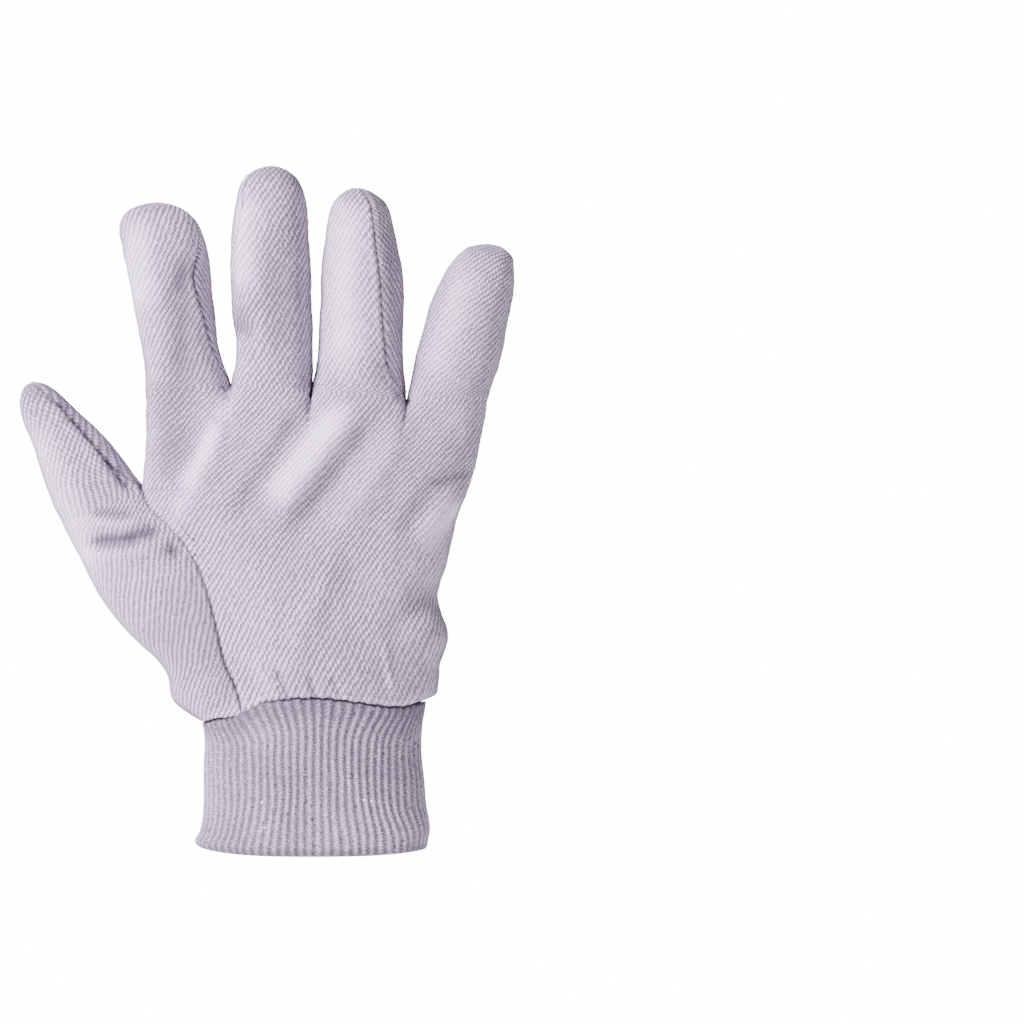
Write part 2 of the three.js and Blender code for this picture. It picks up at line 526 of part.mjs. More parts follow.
// The whole outside of the body as one net of points and four-sided faces, each face in one piece
class Net {
  constructor() {
    this.points = [];
    this.faces = [];
    this.places = new Map();
  }

  // The point at a place; places closer together than the weld are one point
  point(place) {
    const cell = place.clone().divideScalar(WELD * 4).floor();
    for (const [dx, dy, dz] of NEIGHBOURS) {
      for (const id of this.places.get(`${cell.x + dx} ${cell.y + dy} ${cell.z + dz}`) ?? []) {
        if (this.points[id].distanceTo(place) < WELD) return id;
      }
    }
    const key = `${cell.x} ${cell.y} ${cell.z}`;
    if (!this.places.has(key)) this.places.set(key, []);
    this.places.get(key).push(this.points.length);
    this.points.push(place.clone());
    return this.points.length - 1;
  }

  // A grid of places as faces of one piece; flip turns them to face the other way
  grid(piece, rows, flip) {
    const ids = rows.map((row) => row.map((place) => this.point(place)));
    for (let r = 0; r + 1 < ids.length; r += 1) {
      for (let c = 0; c + 1 < ids[r].length; c += 1) {
        const face = [ids[r][c], ids[r][c + 1], ids[r + 1][c + 1], ids[r + 1][c]];
        const corners = face.filter((id, i) => id !== face[(i + 1) % 4]);
        if (corners.length < 3) continue;
        if (flip) corners.reverse();
        this.faces.push({ piece, corners });
      }
    }
  }

  // Draws each point near a place towards its neighbours, so that the cloth runs on evenly there
  relax(place, reach, rounds) {
    const around = this.points.map(() => new Set());
    for (const { corners } of this.faces) {
      corners.forEach((id, i) => {
        const next = corners[(i + 1) % corners.length];
        around[id].add(next);
        around[next].add(id);
      });
    }
    const weights = this.points.map((point) => Math.exp(-((point.distanceTo(place) / reach) ** 2)));
    for (let round = 0; round < rounds; round += 1) {
      const old = this.points.map((point) => point.clone());
      this.points.forEach((point, id) => {
        if (weights[id] < 0.01) return;
        const middle = new THREE.Vector3();
        for (const next of around[id]) middle.addScaledVector(old[next], 1 / around[id].size);
        point.lerp(middle, weights[id] * RELAX_STEP);
      });
    }
  }

  triangles(corners) {
    return corners.length === 3
      ? [corners]
      : [[corners[0], corners[1], corners[2]], [corners[0], corners[2], corners[3]]];
  }

  // The outward direction at each point, from the faces round it
  normals() {
    const sums = this.points.map(() => new THREE.Vector3());
    const edgeA = new THREE.Vector3();
    const edgeB = new THREE.Vector3();
    for (const face of this.faces) {
      const count = face.corners.length;
      face.corners.forEach((id, i) => {
        edgeA.subVectors(this.points[face.corners[(i + 1) % count]], this.points[id]).normalize();
        edgeB.subVectors(this.points[face.corners[(i + count - 1) % count]], this.points[id]).normalize();
        const corner = Math.acos(clamp(edgeA.dot(edgeB), -1, 1));
        sums[id].add(edgeA.clone().cross(edgeB).normalize().multiplyScalar(corner));
      });
    }
    return sums.map((sum) => sum.normalize());
  }

  // The way into the piece at each point of its rim, square to the rim and as long as its corner needs
  rimDirections(edges, normals) {
    const sides = new Map();
    for (const [a, b] of edges) {
      const run = new THREE.Vector3().subVectors(this.points[b], this.points[a]).normalize();
      for (const id of [a, b]) {
        if (!sides.has(id)) sides.set(id, []);
        sides.get(id).push(new THREE.Vector3().crossVectors(normals[id], run).normalize());
      }
    }
    return new Map([...sides].map(([id, ways]) => {
      const middle = ways.reduce((sum, way) => sum.add(way), new THREE.Vector3()).normalize();
      return [id, middle.multiplyScalar(1 / Math.max(middle.dot(ways[0]), 0.5))];
    }));
  }

  // One piece as a closed wall of cloth, its rim half a gap short of the seams
  solid(piece, normals, thickness) {
    const faces = this.faces.filter((face) => face.piece === piece);
    const used = new Map();
    const edges = new Map();
    for (const { corners } of faces) {
      corners.forEach((id, i) => {
        const next = corners[(i + 1) % corners.length];
        if (!used.has(id)) used.set(id, used.size);
        if (edges.has(`${next} ${id}`)) edges.delete(`${next} ${id}`);
        else edges.set(`${id} ${next}`, [id, next]);
      });
    }
    const rim = this.rimDirections([...edges.values()], normals);
    const positions = [];
    const index = [];
    for (const id of used.keys()) {
      const place = this.points[id].clone();
      if (rim.has(id)) place.addScaledVector(rim.get(id), SEAM_GAP / 2);
      positions.push(...place.toArray(), ...place.addScaledVector(normals[id], -thickness).toArray());
    }
    const outer = (id) => used.get(id) * 2;
    for (const { corners } of faces) {
      for (const [a, b, c] of this.triangles(corners)) {
        index.push(outer(a), outer(b), outer(c), outer(a) + 1, outer(c) + 1, outer(b) + 1);
      }
    }
    for (const [a, b] of edges.values()) {
      if (a < b) index.push(outer(a), outer(a) + 1, outer(b), outer(b), outer(a) + 1, outer(b) + 1);
      else index.push(outer(a), outer(a) + 1, outer(b) + 1, outer(a), outer(b) + 1, outer(b));
    }
    const geometry = new THREE.BufferGeometry();
    geometry.setAttribute('position', new THREE.Float32BufferAttribute(positions, 3));
    geometry.setIndex(index);
    geometry.computeVertexNormals();
    return geometry;
  }
}

// A list of the whole numbers from 0 to a count
const range = (count) => Array.from({ length: count + 1 }, (_, i) => i);

// The rows of the hand as shares of its height: the thumb's root rows, then those above its crotch
function handShares() {
  const low = ROOT_ROWS.map((at) => at * CROTCH_SHARE);
  const high = PALM_TOP_ROWS.map((at) => mix(CROTCH_SHARE, 1, at));
  return [...low, ...high];
}

// Moves a place out or in by the folds there; the rims of the cuff seam and the side seams stay
function folded(side, place, share) {
  const lift = foldLift(side, place.x, place.z) * share;
  return place.clone().setY(place.y + sideSign(side) * lift);
}

// The pieces of the back behind each finger
const BACK_PIECES = [
  'index_back_panel',
  'middle_back_panel',
  'ring_little_back_panel',
  'ring_little_back_panel',
];
const BODY_PIECES = ['palm_panel', ...new Set(BACK_PIECES), 'thumb_front_panel', 'thumb_back_panel'];

function buildBody() {
  const net = new Net();
  const shares = handShares();
  for (const side of ['front', 'back']) {
    const flip = side === 'back';
    FINGERS.forEach((finger, part) => {
      const piece = side === 'front' ? 'palm_panel' : BACK_PIECES[part];
      const sides = { 0: part === 0, [FINGER_COLUMNS]: part === FINGERS.length - 1 };
      const calm = (at, step) => (sides[step] ? 0 : ease(at / 0.05) * ease((1 - at) / 0.06));
      net.grid(piece, shares.map((at) => range(FINGER_COLUMNS).map(
        (step) => folded(side, handPoint(side, at, part, step), calm(at, step)),
      )), flip);
      net.grid(piece, FINGER_ROWS.map((at) => range(FINGER_COLUMNS).map(
        (step) => fingerPoint(side, part, at, step),
      )), flip);
    });
    const columns = side === 'front' ? THUMB_FRONT_COLUMNS : THUMB_BACK_COLUMNS;
    const thumbPiece = side === 'front' ? 'thumb_front_panel' : 'thumb_back_panel';
    net.grid(thumbPiece, ROOT_ROWS.map((at) => range(columns).map((step) => {
      const inner = step > 0 && step < columns ? ease(at / 0.1) : 0;
      return folded(side, thumbRootPoint(side, at, step / columns), inner);
    })), true);
    net.grid(thumbPiece, [0, ...FREE_THUMB_ROWS].map((at) => range(columns).map((step) => {
      const inner = step > 0 && step < columns ? ease(1 - at / 0.5) : 0;
      return folded(side, freeThumbPoint(side, at, step / columns), inner);
    })), true);
  }
  net.relax(CROTCH_POINT, RELAX_REACH, RELAX_ROUNDS);
  return net;
}

// The cuff: a tube of folded rib knit, its ribs running from the hem to the seam
function buildCuff() {
  const around = RIB_COUNT * 2;
  const positions = [];
  const index = [];
  const ring = (grow, level, relief) => {
    range(around - 1).forEach((i) => {
      const angle = (i / around) * Math.PI * 2;
      const flare = HEM_FLARE * Math.max(0, 1 - level / HEM_SHARE) ** 2;
      const rib = relief * (i % 2 === 0 ? 0 : -RIB_RELIEF);
      const place = wristPoint(angle, grow + flare + rib);
      const top = cuffSeamHeight(place.x, place.y) - CUFF_SEAM_GAP;
      positions.push(place.x, place.y, top * level);
    });
  };
  CUFF_LEVELS.forEach((level) => ring(0, level, 1));
  [...CUFF_LEVELS].reverse().forEach((level) => ring(-KNIT_THICKNESS, level, 0));
  const rings = CUFF_LEVELS.length * 2;
  for (let r = 0; r < rings; r += 1) {
    const low = r * around;
    const high = ((r + 1) % rings) * around;
    for (let i = 0; i < around; i += 1) {
      const next = (i + 1) % around;
      index.push(low + i, high + i, low + next, low + next, high + i, high + next);
    }
  }
  const geometry = new THREE.BufferGeometry();
  geometry.setAttribute('position', new THREE.Float32BufferAttribute(positions, 3));
  geometry.setIndex(index);
  geometry.computeVertexNormals();
  return geometry;
}

function addPiece(group, name, geometry, color) {
  const material = new THREE.MeshStandardMaterial({ color, roughness: ROUGHNESS, metalness: 0 });
  const mesh = new THREE.Mesh(geometry, material);
  mesh.name = name;
  group.add(mesh);
}

const glove = new THREE.Group();
const net = buildBody();
const normals = net.normals();
for (const name of BODY_PIECES) {
  addPiece(glove, name, net.solid(name, normals, CLOTH_THICKNESS), CLOTH_COLOUR);
}
addPiece(glove, 'knit_cuff', buildCuff(), KNIT_COLOUR);

export default glove;
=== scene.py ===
"""The looks of a cotton work glove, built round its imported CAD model.

The cloth pieces follow the same named sizes and tables as the part's source, on a finer net: one
smooth body is laid out, its folds are pressed in, and it is then cut into the six cloth pieces,
whose edges turn in at the seams. The cuff is a tube of ribs that follow the pull of the seam.
Sizes are in millimetres here and become metres when a mesh is finished.
"""

from __future__ import annotations

import logging
import math
from dataclasses import dataclass, field
from enum import Enum
from types import SimpleNamespace

import bmesh
import bpy
import numpy as np
from mathutils import Matrix, Vector, kdtree, noise

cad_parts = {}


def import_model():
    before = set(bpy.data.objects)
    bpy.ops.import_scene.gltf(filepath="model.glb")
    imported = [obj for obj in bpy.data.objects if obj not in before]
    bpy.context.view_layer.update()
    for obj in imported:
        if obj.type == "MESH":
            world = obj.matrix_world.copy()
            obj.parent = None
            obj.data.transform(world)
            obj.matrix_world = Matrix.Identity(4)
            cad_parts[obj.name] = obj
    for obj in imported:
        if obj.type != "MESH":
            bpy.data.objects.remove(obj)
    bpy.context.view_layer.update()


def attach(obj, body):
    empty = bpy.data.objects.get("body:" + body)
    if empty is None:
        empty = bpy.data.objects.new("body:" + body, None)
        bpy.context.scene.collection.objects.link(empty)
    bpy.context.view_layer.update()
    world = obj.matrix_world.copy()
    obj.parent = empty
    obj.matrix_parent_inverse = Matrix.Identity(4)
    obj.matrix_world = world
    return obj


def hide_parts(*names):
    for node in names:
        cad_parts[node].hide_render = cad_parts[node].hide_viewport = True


LOG = logging.getLogger("glove")

# Metres in a millimetre, and units of the pattern in a millimetre of cloth
MM = 0.001
UV_SCALE = 0.01

# What takes the height out of a place
LEVEL = np.array([1, 1, 0])

# A number or an array of them, three numbers of a colour or a place, and what a socket can be given
Values = float | np.ndarray
Triple = tuple[float, float, float]
Socketed = float | tuple | bpy.types.NodeSocket


def table(columns: str, *rows: tuple) -> list[SimpleNamespace]:
    """Puts rows of values under named columns.

    Args:
        columns: The names of the columns, with blanks between them.
        rows: The values of each row, in the order of the columns.

    Returns:
        A namespace for each row.
    """
    names = columns.split()
    return [SimpleNamespace(**dict(zip(names, row, strict=True))) for row in rows]


class Side(Enum):
    """The palm's side or the back of the hand, with the sign of Y that it faces."""

    FRONT = -1
    BACK = 1


class Panel(Enum):
    """The cut pieces of cloth: the name of the new piece and of the CAD node that it stands for."""

    PALM = ("palm_cloth", "palm_panel")
    INDEX_BACK = ("index_back_cloth", "index_back_panel")
    MIDDLE_BACK = ("middle_back_cloth", "middle_back_panel")
    RING_LITTLE_BACK = ("ring_little_back_cloth", "ring_little_back_panel")
    THUMB_FRONT = ("thumb_front_cloth", "thumb_front_panel")
    THUMB_BACK = ("thumb_back_cloth", "thumb_back_panel")


PANELS = list(Panel)
BACK_PANELS = [Panel.INDEX_BACK, Panel.MIDDLE_BACK, Panel.RING_LITTLE_BACK, Panel.RING_LITTLE_BACK]

# Fingers from the thumb side to the outer side, as in the part's source. base is the width at the
# root, web how far the web on its right lies above the hand, weave how fine its cords are
FINGERS = table(
    "name base width depth length lean web weave",
    ("index", 30, 28.4, 24.6, 67, -9.1, 3.9, 1.08),
    ("middle", 28.6, 28, 25, 78.5, 0.9, 1.2, 0.88),
    ("ring", 33.7, 29.4, 24.6, 72.9, -0.5, -1, 0.91),
    ("little", 29.5, 28.4, 23, 56.5, 16, -1, 1.2),
)

# Outline of each finger: at is a share of its length, left and right are shares of half its width,
# deep is a share of half its depth
FINGER_OUTLINES = {
    "index": table(
        "at left right deep",
        (0, 1.05, 1.04, 0.98),
        (0.1, 1.0, 0.97, 1.0),
        (0.22, 0.99, 0.9, 0.99),
        (0.42, 0.99, 0.96, 1.0),
        (0.62, 0.99, 1.03, 1.0),
        (0.78, 1.02, 0.99, 0.95),
        (0.88, 1.05, 0.82, 0.84),
        (0.945, 0.95, 0.54, 0.64),
        (0.98, 0.72, 0.24, 0.42),
        (1, 0.23, -0.23, 0),
    ),
    "middle": table(
        "at left right deep",
        (0, 1.0, 1.02, 0.98),
        (0.08, 0.93, 1.04, 1.0),
        (0.22, 0.9, 1.02, 0.99),
        (0.34, 1.01, 0.99, 1.0),
        (0.5, 1.08, 0.96, 1.0),
        (0.66, 1.05, 0.93, 0.98),
        (0.8, 0.99, 0.84, 0.92),
        (0.9, 0.86, 0.72, 0.78),
        (0.96, 0.6, 0.48, 0.54),
        (1, 0, 0, 0),
    ),
    "ring": table(
        "at left right deep",
        (0, 1.13, 1.14, 0.98),
        (0.11, 1.05, 1.08, 1.0),
        (0.28, 0.95, 1.09, 1.0),
        (0.46, 0.9, 1.12, 1.0),
        (0.58, 0.88, 1.11, 1.0),
        (0.7, 0.82, 1.0, 0.96),
        (0.82, 0.74, 0.89, 0.88),
        (0.905, 0.63, 0.76, 0.74),
        (0.96, 0.43, 0.5, 0.52),
        (1, 0, 0, 0),
    ),
    "little": table(
        "at left right deep",
        (0, 1.03, 1.02, 0.98),
        (0.09, 1.01, 0.99, 1.0),
        (0.25, 1.06, 0.99, 1.0),
        (0.42, 1.08, 0.97, 1.0),
        (0.58, 1.06, 0.92, 0.98),
        (0.71, 0.97, 0.86, 0.92),
        (0.82, 0.84, 0.78, 0.84),
        (0.91, 0.66, 0.66, 0.7),
        (0.965, 0.38, 0.53, 0.46),
        (1, -0.12, 0.12, 0),
    ),
}

# How far the seams beside each finger lie on its front, in degrees round the finger
SEAM_TURNS = {
    "index": table(
        "at left right",
        (0, 0, 0),
        (0.07, 0, 22),
        (0.2, 0, 33),
        (0.35, 0, 40),
        (0.54, 0, 52),
        (0.66, 0, 44),
        (0.82, 0, 20),
        (1, 0, 5),
    ),
    "middle": table(
        "at left right",
        (0, 0, 0),
        (0.4, 0, 0),
        (0.55, 16, 0),
        (0.68, 40, 0),
        (0.8, 46, 0),
        (0.92, 38, 0),
        (1, 30, 0),
    ),
    "ring": table(
        "at left right",
        (0, 0, 0),
        (0.04, 0, 26),
        (0.1, 0, 47),
        (0.25, 0, 57),
        (0.5, 0, 65),
        (0.82, 0, 67),
        (1, 0, 66),
    ),
    "little": table(
        "at left right",
        (0, 0, 0),
        (1, 0, 0),
    ),
}

# The hand from the cuff seam up to the finger roots, as in the part's source: left and right are
# shares of half its width, front and back of half its depth
HAND_ROWS = table(
    "at left right front back",
    (0, -0.65, 0.65, 0.95, 0.95),
    (0.03, -0.715, 0.7, 1.03, 1.02),
    (0.075, -0.75, 0.725, 1.09, 1.04),
    (0.13, -0.8, 0.738, 1.12, 1.04),
    (0.22, -0.9, 0.79, 1.13, 1.0),
    (0.34, -0.985, 0.725, 1.1, 0.95),
    (0.46, -1.03, 0.785, 1.04, 0.93),
    (0.6, -1.04, 0.835, 0.97, 0.9),
    (0.68, -1.0, 0.885, 0.93, 0.88),
    (0.78, -0.975, 0.95, 0.88, 0.84),
    (0.9, -0.97, 0.985, 0.82, 0.8),
    (1, -0.97, 1.03, 0.78, 0.77),
)

# The seam round the root of the thumb, as in the part's source: seam and edge are the inner and
# outer ends of a level across the thumb, turns are degrees round it, ahead is how far forward
THUMB_ROOT_ROWS = table(
    "at seam seam_up edge edge_up turn back_turn ahead",
    (0, -0.4, 0, -0.7, -0.08, 55, 212, 0),
    (0.08, -0.44, 0.07, -0.81, 0.0, 55, 218, 0.1),
    (0.18, -0.5, 0.18, -0.85, 0.12, 54, 226, 0.3),
    (0.32, -0.54, 0.33, -1.035, 0.28, 52, 238, 0.6),
    (0.5, -0.59, 0.5, -1.2, 0.45, 50, 247, 0.85),
    (0.66, -0.66, 0.66, -1.3, 0.59, 48, 255, 1),
    (0.8, -0.77, 0.79, -1.365, 0.7, 43, 272, 1),
    (0.92, -0.92, 0.91, -1.42, 0.78, 32, 305, 1),
    (1, -0.985, 1.01, -1.45, 0.825, 16, 376, 1),
)

# The free thumb, as in the part's source: half and deep are shares of its half width and depth
THUMB_ROWS = table(
    "at half deep turn",
    (0, 1, 1, 16),
    (0.18, 0.95, 0.96, 38),
    (0.36, 0.87, 0.9, 46),
    (0.52, 0.76, 0.83, 46),
    (0.66, 0.63, 0.76, 44),
    (0.78, 0.55, 0.68, 46),
    (0.88, 0.44, 0.55, 56),
    (0.95, 0.3, 0.38, 62),
    (1, 0, 0, 62),
)

# How fast the twill pattern runs up the palm and the thumb, and across the thumb
TWILL_ROWS = table(
    "at palm thumb thumb_wide",
    (20, 0.7, 1.2, 1.05),
    (60, 0.74, 1.2, 1.05),
    (85, 0.8, 1.25, 1.1),
    (105, 0.98, 1.05, 1.15),
    (125, 1.3, 1.0, 0.9),
    (142, 1.4, 1.0, 0.76),
    (158, 1.3, 1.05, 0.76),
    (175, 1.0, 1.05, 0.76),
)

# Shares of the hand's width at which the columns of the front and back part at the cuff seam
FRONT_PARTS = [0, 0.38, 0.57, 0.79, 1]
BACK_PARTS = [0, 0.28, 0.7, 0.86, 1]

# Where the cuff seam runs lower than at the middle of the front, as in the part's source
CUFF_SEAM_ROWS = table(
    "at front back",
    (-1, 0.17, 0.17),
    (-0.85, 0.135, 0.1),
    (-0.65, 0.11, 0.05),
    (-0.45, 0.03, 0.03),
    (-0.2, 0.005, 0.02),
    (0.1, 0, 0.015),
    (0.4, 0.025, 0.02),
    (0.72, 0.055, 0.03),
    (0.9, 0.045, 0.04),
    (1, 0.03, 0.03),
)

# Folds and dents: a fold runs from x, z to to_x, to_z; wide is its half width and rise its height,
# below 0 where it sinks
FRONT_FOLDS = table(
    "x z to_x to_z wide rise",
    (13, 154, -10, 122, 5.5, 1.7),
    (-3, 156, -24, 121, 4.4, -1.5),
    (-32, 150, -42, 130, 4.2, 1.3),
    (-46, 178, -44, 136, 6.5, -1.5),
    (26, 158, -8, 112, 4.0, -1.2),
    (34, 152, 8, 112, 5.0, 0.8),
    (56, 136, 43, 130, 2.6, -0.9),
    (43, 130, 33, 113, 3.4, -0.7),
    (54, 127, 38, 113, 4.2, 0.8),
    (46, 95, 26, 78, 4.5, -0.8),
    (20, 110, -4, 66, 6.0, -0.7),
    (6, 98, -8, 64, 4.5, 0.6),
    (-12, 66, -7, 55, 1.5, -1.0),
    (0, 64, 1.5, 56, 1.2, -0.7),
    (26, 74, 29, 58, 1.3, 0.5),
    (8, 63, 10, 57, 1.4, -0.5),
    (-20, 70, -13, 57, 2.4, 0.6),
    (-76, 120.6, -62, 119.6, 2.0, -1.1),
    (-77, 118, -60, 116.6, 2.6, 1.0),
    (-77, 109.6, -62, 110.6, 2.3, -1.7),
    (-64, 110.8, -53, 114.5, 2.3, -1.4),
    (-78, 105.6, -56, 108, 3.0, 0.9),
    (-50, 108.5, -45, 106, 2.8, -1.2),
    (-40, 208, -52, 192, 3.4, -0.5),
    (-28, 186, -20, 183, 3.2, -1.3),
    (-14, 214, -9, 176, 5.0, -0.8),
    (-24, 228, -24, 198, 3.2, 0.7),
    (-64, 215, -62, 182, 4.5, 0.7),
    (-44, 210, -45, 172, 4.0, -0.9),
    (14, 220, 12, 176, 5.0, 0.6),
    (52, 205, 40, 172, 5.5, 0.6),
    (-92, 160.6, -85, 156.4, 1.0, -0.5),
    (-86.6, 157.8, -76.3, 145.4, 1.0, -1.3),
    (-76.3, 145.4, -63.6, 129, 1.0, -1.3),
    (-89.5, 156, -79, 144, 1.8, 0.5),
    (-79, 144, -66, 127, 1.8, 0.5),
)

# Bands of painted light, rise above 0, and painted shade, below 0, on the cloth; where they lighten, the
# cords also look worn flatter
FRONT_PAINTED_LIGHT = table(
    "x z to_x to_z wide rise",
    (14, 230, 12, 168, 7, 0.75),
    (-61, 222, -58, 192, 5.0, 0.9),
    (-57, 190, -56, 164, 5.0, 0.25),
    (-64, 230, -48, 229, 3.5, -0.5),
    (-22, 242, -8, 241, 4.0, -0.6),
    (8, 235, 24, 233, 4.0, -0.5),
    (54, 215, 66, 213, 3.5, -0.5),
    (-101, 165, -94, 163, 4.0, -0.6),
    (-53, 165, -50, 130, 4.0, -0.4),
    (-45, 208, -42, 168, 6, -0.25),
    (-22, 232, -22, 200, 4, 0.7),
    (-8, 226, -8, 176, 7, -0.4),
    (-25, 194, -27, 184, 3.6, -0.6),
    (12, 158, -14, 127, 5.0, 1.0),
    (-7, 164, -25, 123, 4.0, 0.15),
    (16, 147, -2, 121, 4.0, 0.1),
    (-29, 163, -38, 137, 3.0, 0.6),
    (-34, 149, -48, 117, 3.4, 0.6),
    (44, 130, 32, 66, 13, 0.1),
    (50, 124, 40, 108, 3.5, 0.6),
    (8, 78, 24, 62, 12, -0.3),
    (-97, 152, -76, 100, 6, 0.6),
    (-77, 109.8, -62, 110.6, 2.4, -0.9),
    (-64, 110.8, -52, 114.5, 2.4, -0.6),
    (-76, 120.6, -62, 119.6, 1.8, -0.5),
    (-50, 108.5, -45, 106, 2.6, -0.25),
    (-56, 84, -40, 62, 9, -0.2),
    (56, 205, 44, 168, 5, 0.6),
    (49, 212, 37, 172, 3, -0.4),
    (27, 222, 32, 178, 3.2, -0.5),
)
BACK_PAINTED_LIGHT = table(
    "x z to_x to_z wide rise",
    (-40, 150, -34, 70, 9, 0.3),
    (-12, 150, -16, 100, 7, 0.3),
    (24, 150, 24, 66, 8, 0.3),
    (-2, 92, -22, 84, 4, -0.5),
    (32, 158, 28, 124, 4.5, -0.3),
)

# Seams on the palm's side and on the back: how far the edge turns in, deep, and how much painted shade
# darkens the seam line, dark
FRONT_SEAMS = table(
    "x z deep dark",
    (-44, 222, 0.5, 0.0),
    (-40, 206, 1.0, 0.4),
    (-36.5, 192, 0.9, 0.35),
    (-33.5, 176, 0.8, 0.3),
    (-29.5, 165, 1.0, 0.8),
    (-27, 190, 0.7, 0.15),
    (-24, 232, 0.5, 0.1),
    (-15, 243, 0.4, 0.0),
    (0, 182, 0.6, 0.15),
    (-1, 164, 1.0, 0.9),
    (21, 232, 0.8, 0.3),
    (24, 205, 0.9, 0.35),
    (28, 176, 0.9, 0.35),
    (33.5, 162, 1.0, 0.9),
    (42, 190, 0.6, 0.1),
    (-99, 163, 0.2, 0.0),
    (-93, 161, 0.6, 0.3),
    (-86, 157.5, 0.9, 0.45),
    (-76, 145, 0.9, 0.4),
    (-66, 132, 0.7, 0.25),
    (-59.6, 130, 0.5, 0.2),
    (-55, 124, 0.2, 0.0),
    (-46, 114, 0.25, 0.0),
    (-41, 108, 0.5, 0.15),
    (-37, 98, 0.7, 0.25),
    (-34, 86, 0.9, 0.4),
    (-30, 70, 1.0, 0.45),
    (-24, 56, 1.0, 0.5),
    (62, 150, 0.5, 0.1),
    (52, 80, 0.5, 0.1),
    (-72, 84, 0.4, 0.0),
)
BACK_SEAMS = table(
    "x z deep dark",
    (-30, 165, 1.2, 0.8),
    (-32, 120, 1.3, 0.65),
    (-30, 62, 1.2, 0.6),
    (-1, 165, 1.2, 0.8),
    (4, 110, 1.2, 0.55),
    (10, 62, 1.2, 0.6),
    (33, 164, 1.0, 0.6),
    (-62, 128, 1.0, 0.6),
    (-58, 90, 1.0, 0.45),
    (-44, 58, 1.0, 0.5),
    (-40, 200, 0.7, 0.2),
    (-26, 200, 0.7, 0.2),
    (22, 200, 0.7, 0.2),
    (44, 200, 0.7, 0.2),
    (-88, 158, 0.8, 0.3),
    (62, 120, 0.5, 0.1),
)
BACK_FOLDS = table(
    "x z to_x to_z wide rise",
    (-20, 136, -30, 112, 4.5, 1.0),
    (32, 158, 27, 112, 5.5, -1.1),
    (8, 90, -18, 78, 4.0, -1.1),
    (-34, 92, -50, 84, 3.6, -1.2),
    (34, 104, 28, 72, 4.5, -1.0),
    (-12, 120, -2, 98, 5.0, 0.8),
    (44, 92, 36, 86, 2.6, -1.0),
    (-78, 112, -60, 110, 2.4, -1.0),
    (-6, 196, -20, 190, 3.0, -0.7),
    (12, 190, 24, 186, 3.0, -0.7),
)

# Small corrections of the outline: near x, z the cloth moves by by_x, by_z, fading over reach
PULLS = table(
    "x z reach by_x by_z",
    (-48, 52, 9, -0.9, -0.8),
    (42, 54, 6, 1.5, -0.9),
    (-98, 141, 15, 1.0, 0),
    (62, 155, 9, -1.6, 0),
    (-29.5, 164.5, 4, 0, -1.6),
    (33.5, 162.5, 3.5, 0, -1.4),
)

# The cuff from its hem to its seam: at is a share of its height, the rest are half widths and depth
CUFF_ROWS = table(
    "at left right deep",
    (0, 40.4, 40.4, 19.4),
    (0.05, 42.0, 40.9, 19.8),
    (0.15, 40.0, 41.6, 19.4),
    (0.3, 39.0, 40.3, 19.0),
    (0.46, 38.9, 39.6, 18.8),
    (0.66, 38.9, 38.6, 18.8),
    (0.84, 38.5, 38.9, 18.8),
    (0.94, 38.9, 39.8, 19.0),
    (1, 39.5, 40.3, 19.2),
)

# The flat cut of each piece of cloth, in metres and square metres
FLAT_CUTS = table(
    "piece width length area",
    ("palm_cloth", 0.157, 0.199, 0.0217),
    ("index_back_cloth", 0.062, 0.187, 0.0073),
    ("middle_back_cloth", 0.060, 0.193, 0.0076),
    ("ring_little_back_cloth", 0.086, 0.187, 0.01196),
    ("thumb_front_cloth", 0.062, 0.146, 0.00547),
    ("thumb_back_cloth", 0.045, 0.146, 0.00331),
    ("cuff_knit", 0.198, 0.058, 0.01126),
)

# Stitches that show at the ends of the seams: their middle, tilt in degrees from +X, and length
STITCHES = table(
    "x z tilt long",
    (29.5, 162.4, 110, 3.4),
    (34.3, 160.6, 60, 3.2),
    (-31.5, 164.6, 125, 3.0),
    (-29.0, 163.0, 70, 2.4),
    (-2.6, 162.6, 100, 3.0),
    (-1.2, 161.0, 50, 2.6),
    (-43.6, 113.2, -40, 2.2),
    (-41.4, 111.2, -50, 1.8),
    (-40.6, 106.0, -50, 1.8),
)


def mix(low: Values, high: Values, share: Values) -> Values:
    """The value at a share of the way from low to high."""
    return low + (high - low) * share


def ease(share: Values) -> Values:
    """A smooth step from 0 to 1."""
    held = np.clip(share, 0.0, 1.0)
    return held * held * (3 - 2 * held)


def power(value: Values, exponent: float) -> Values:
    """A cosine or sine drawn to that of a superellipse, with its sign kept."""
    return np.sign(value) * np.abs(value) ** (2 / exponent)


def angle_at(share: Values, exponent: float) -> Values:
    """The angle on a superellipse at a share of its half width."""
    return np.arcsin(np.sign(share) * np.minimum(np.abs(share), 1) ** (exponent / 2))


def running(steps: np.ndarray) -> np.ndarray:
    """The length reached before and after each of some steps."""
    return np.concatenate([[0], np.cumsum(steps)])


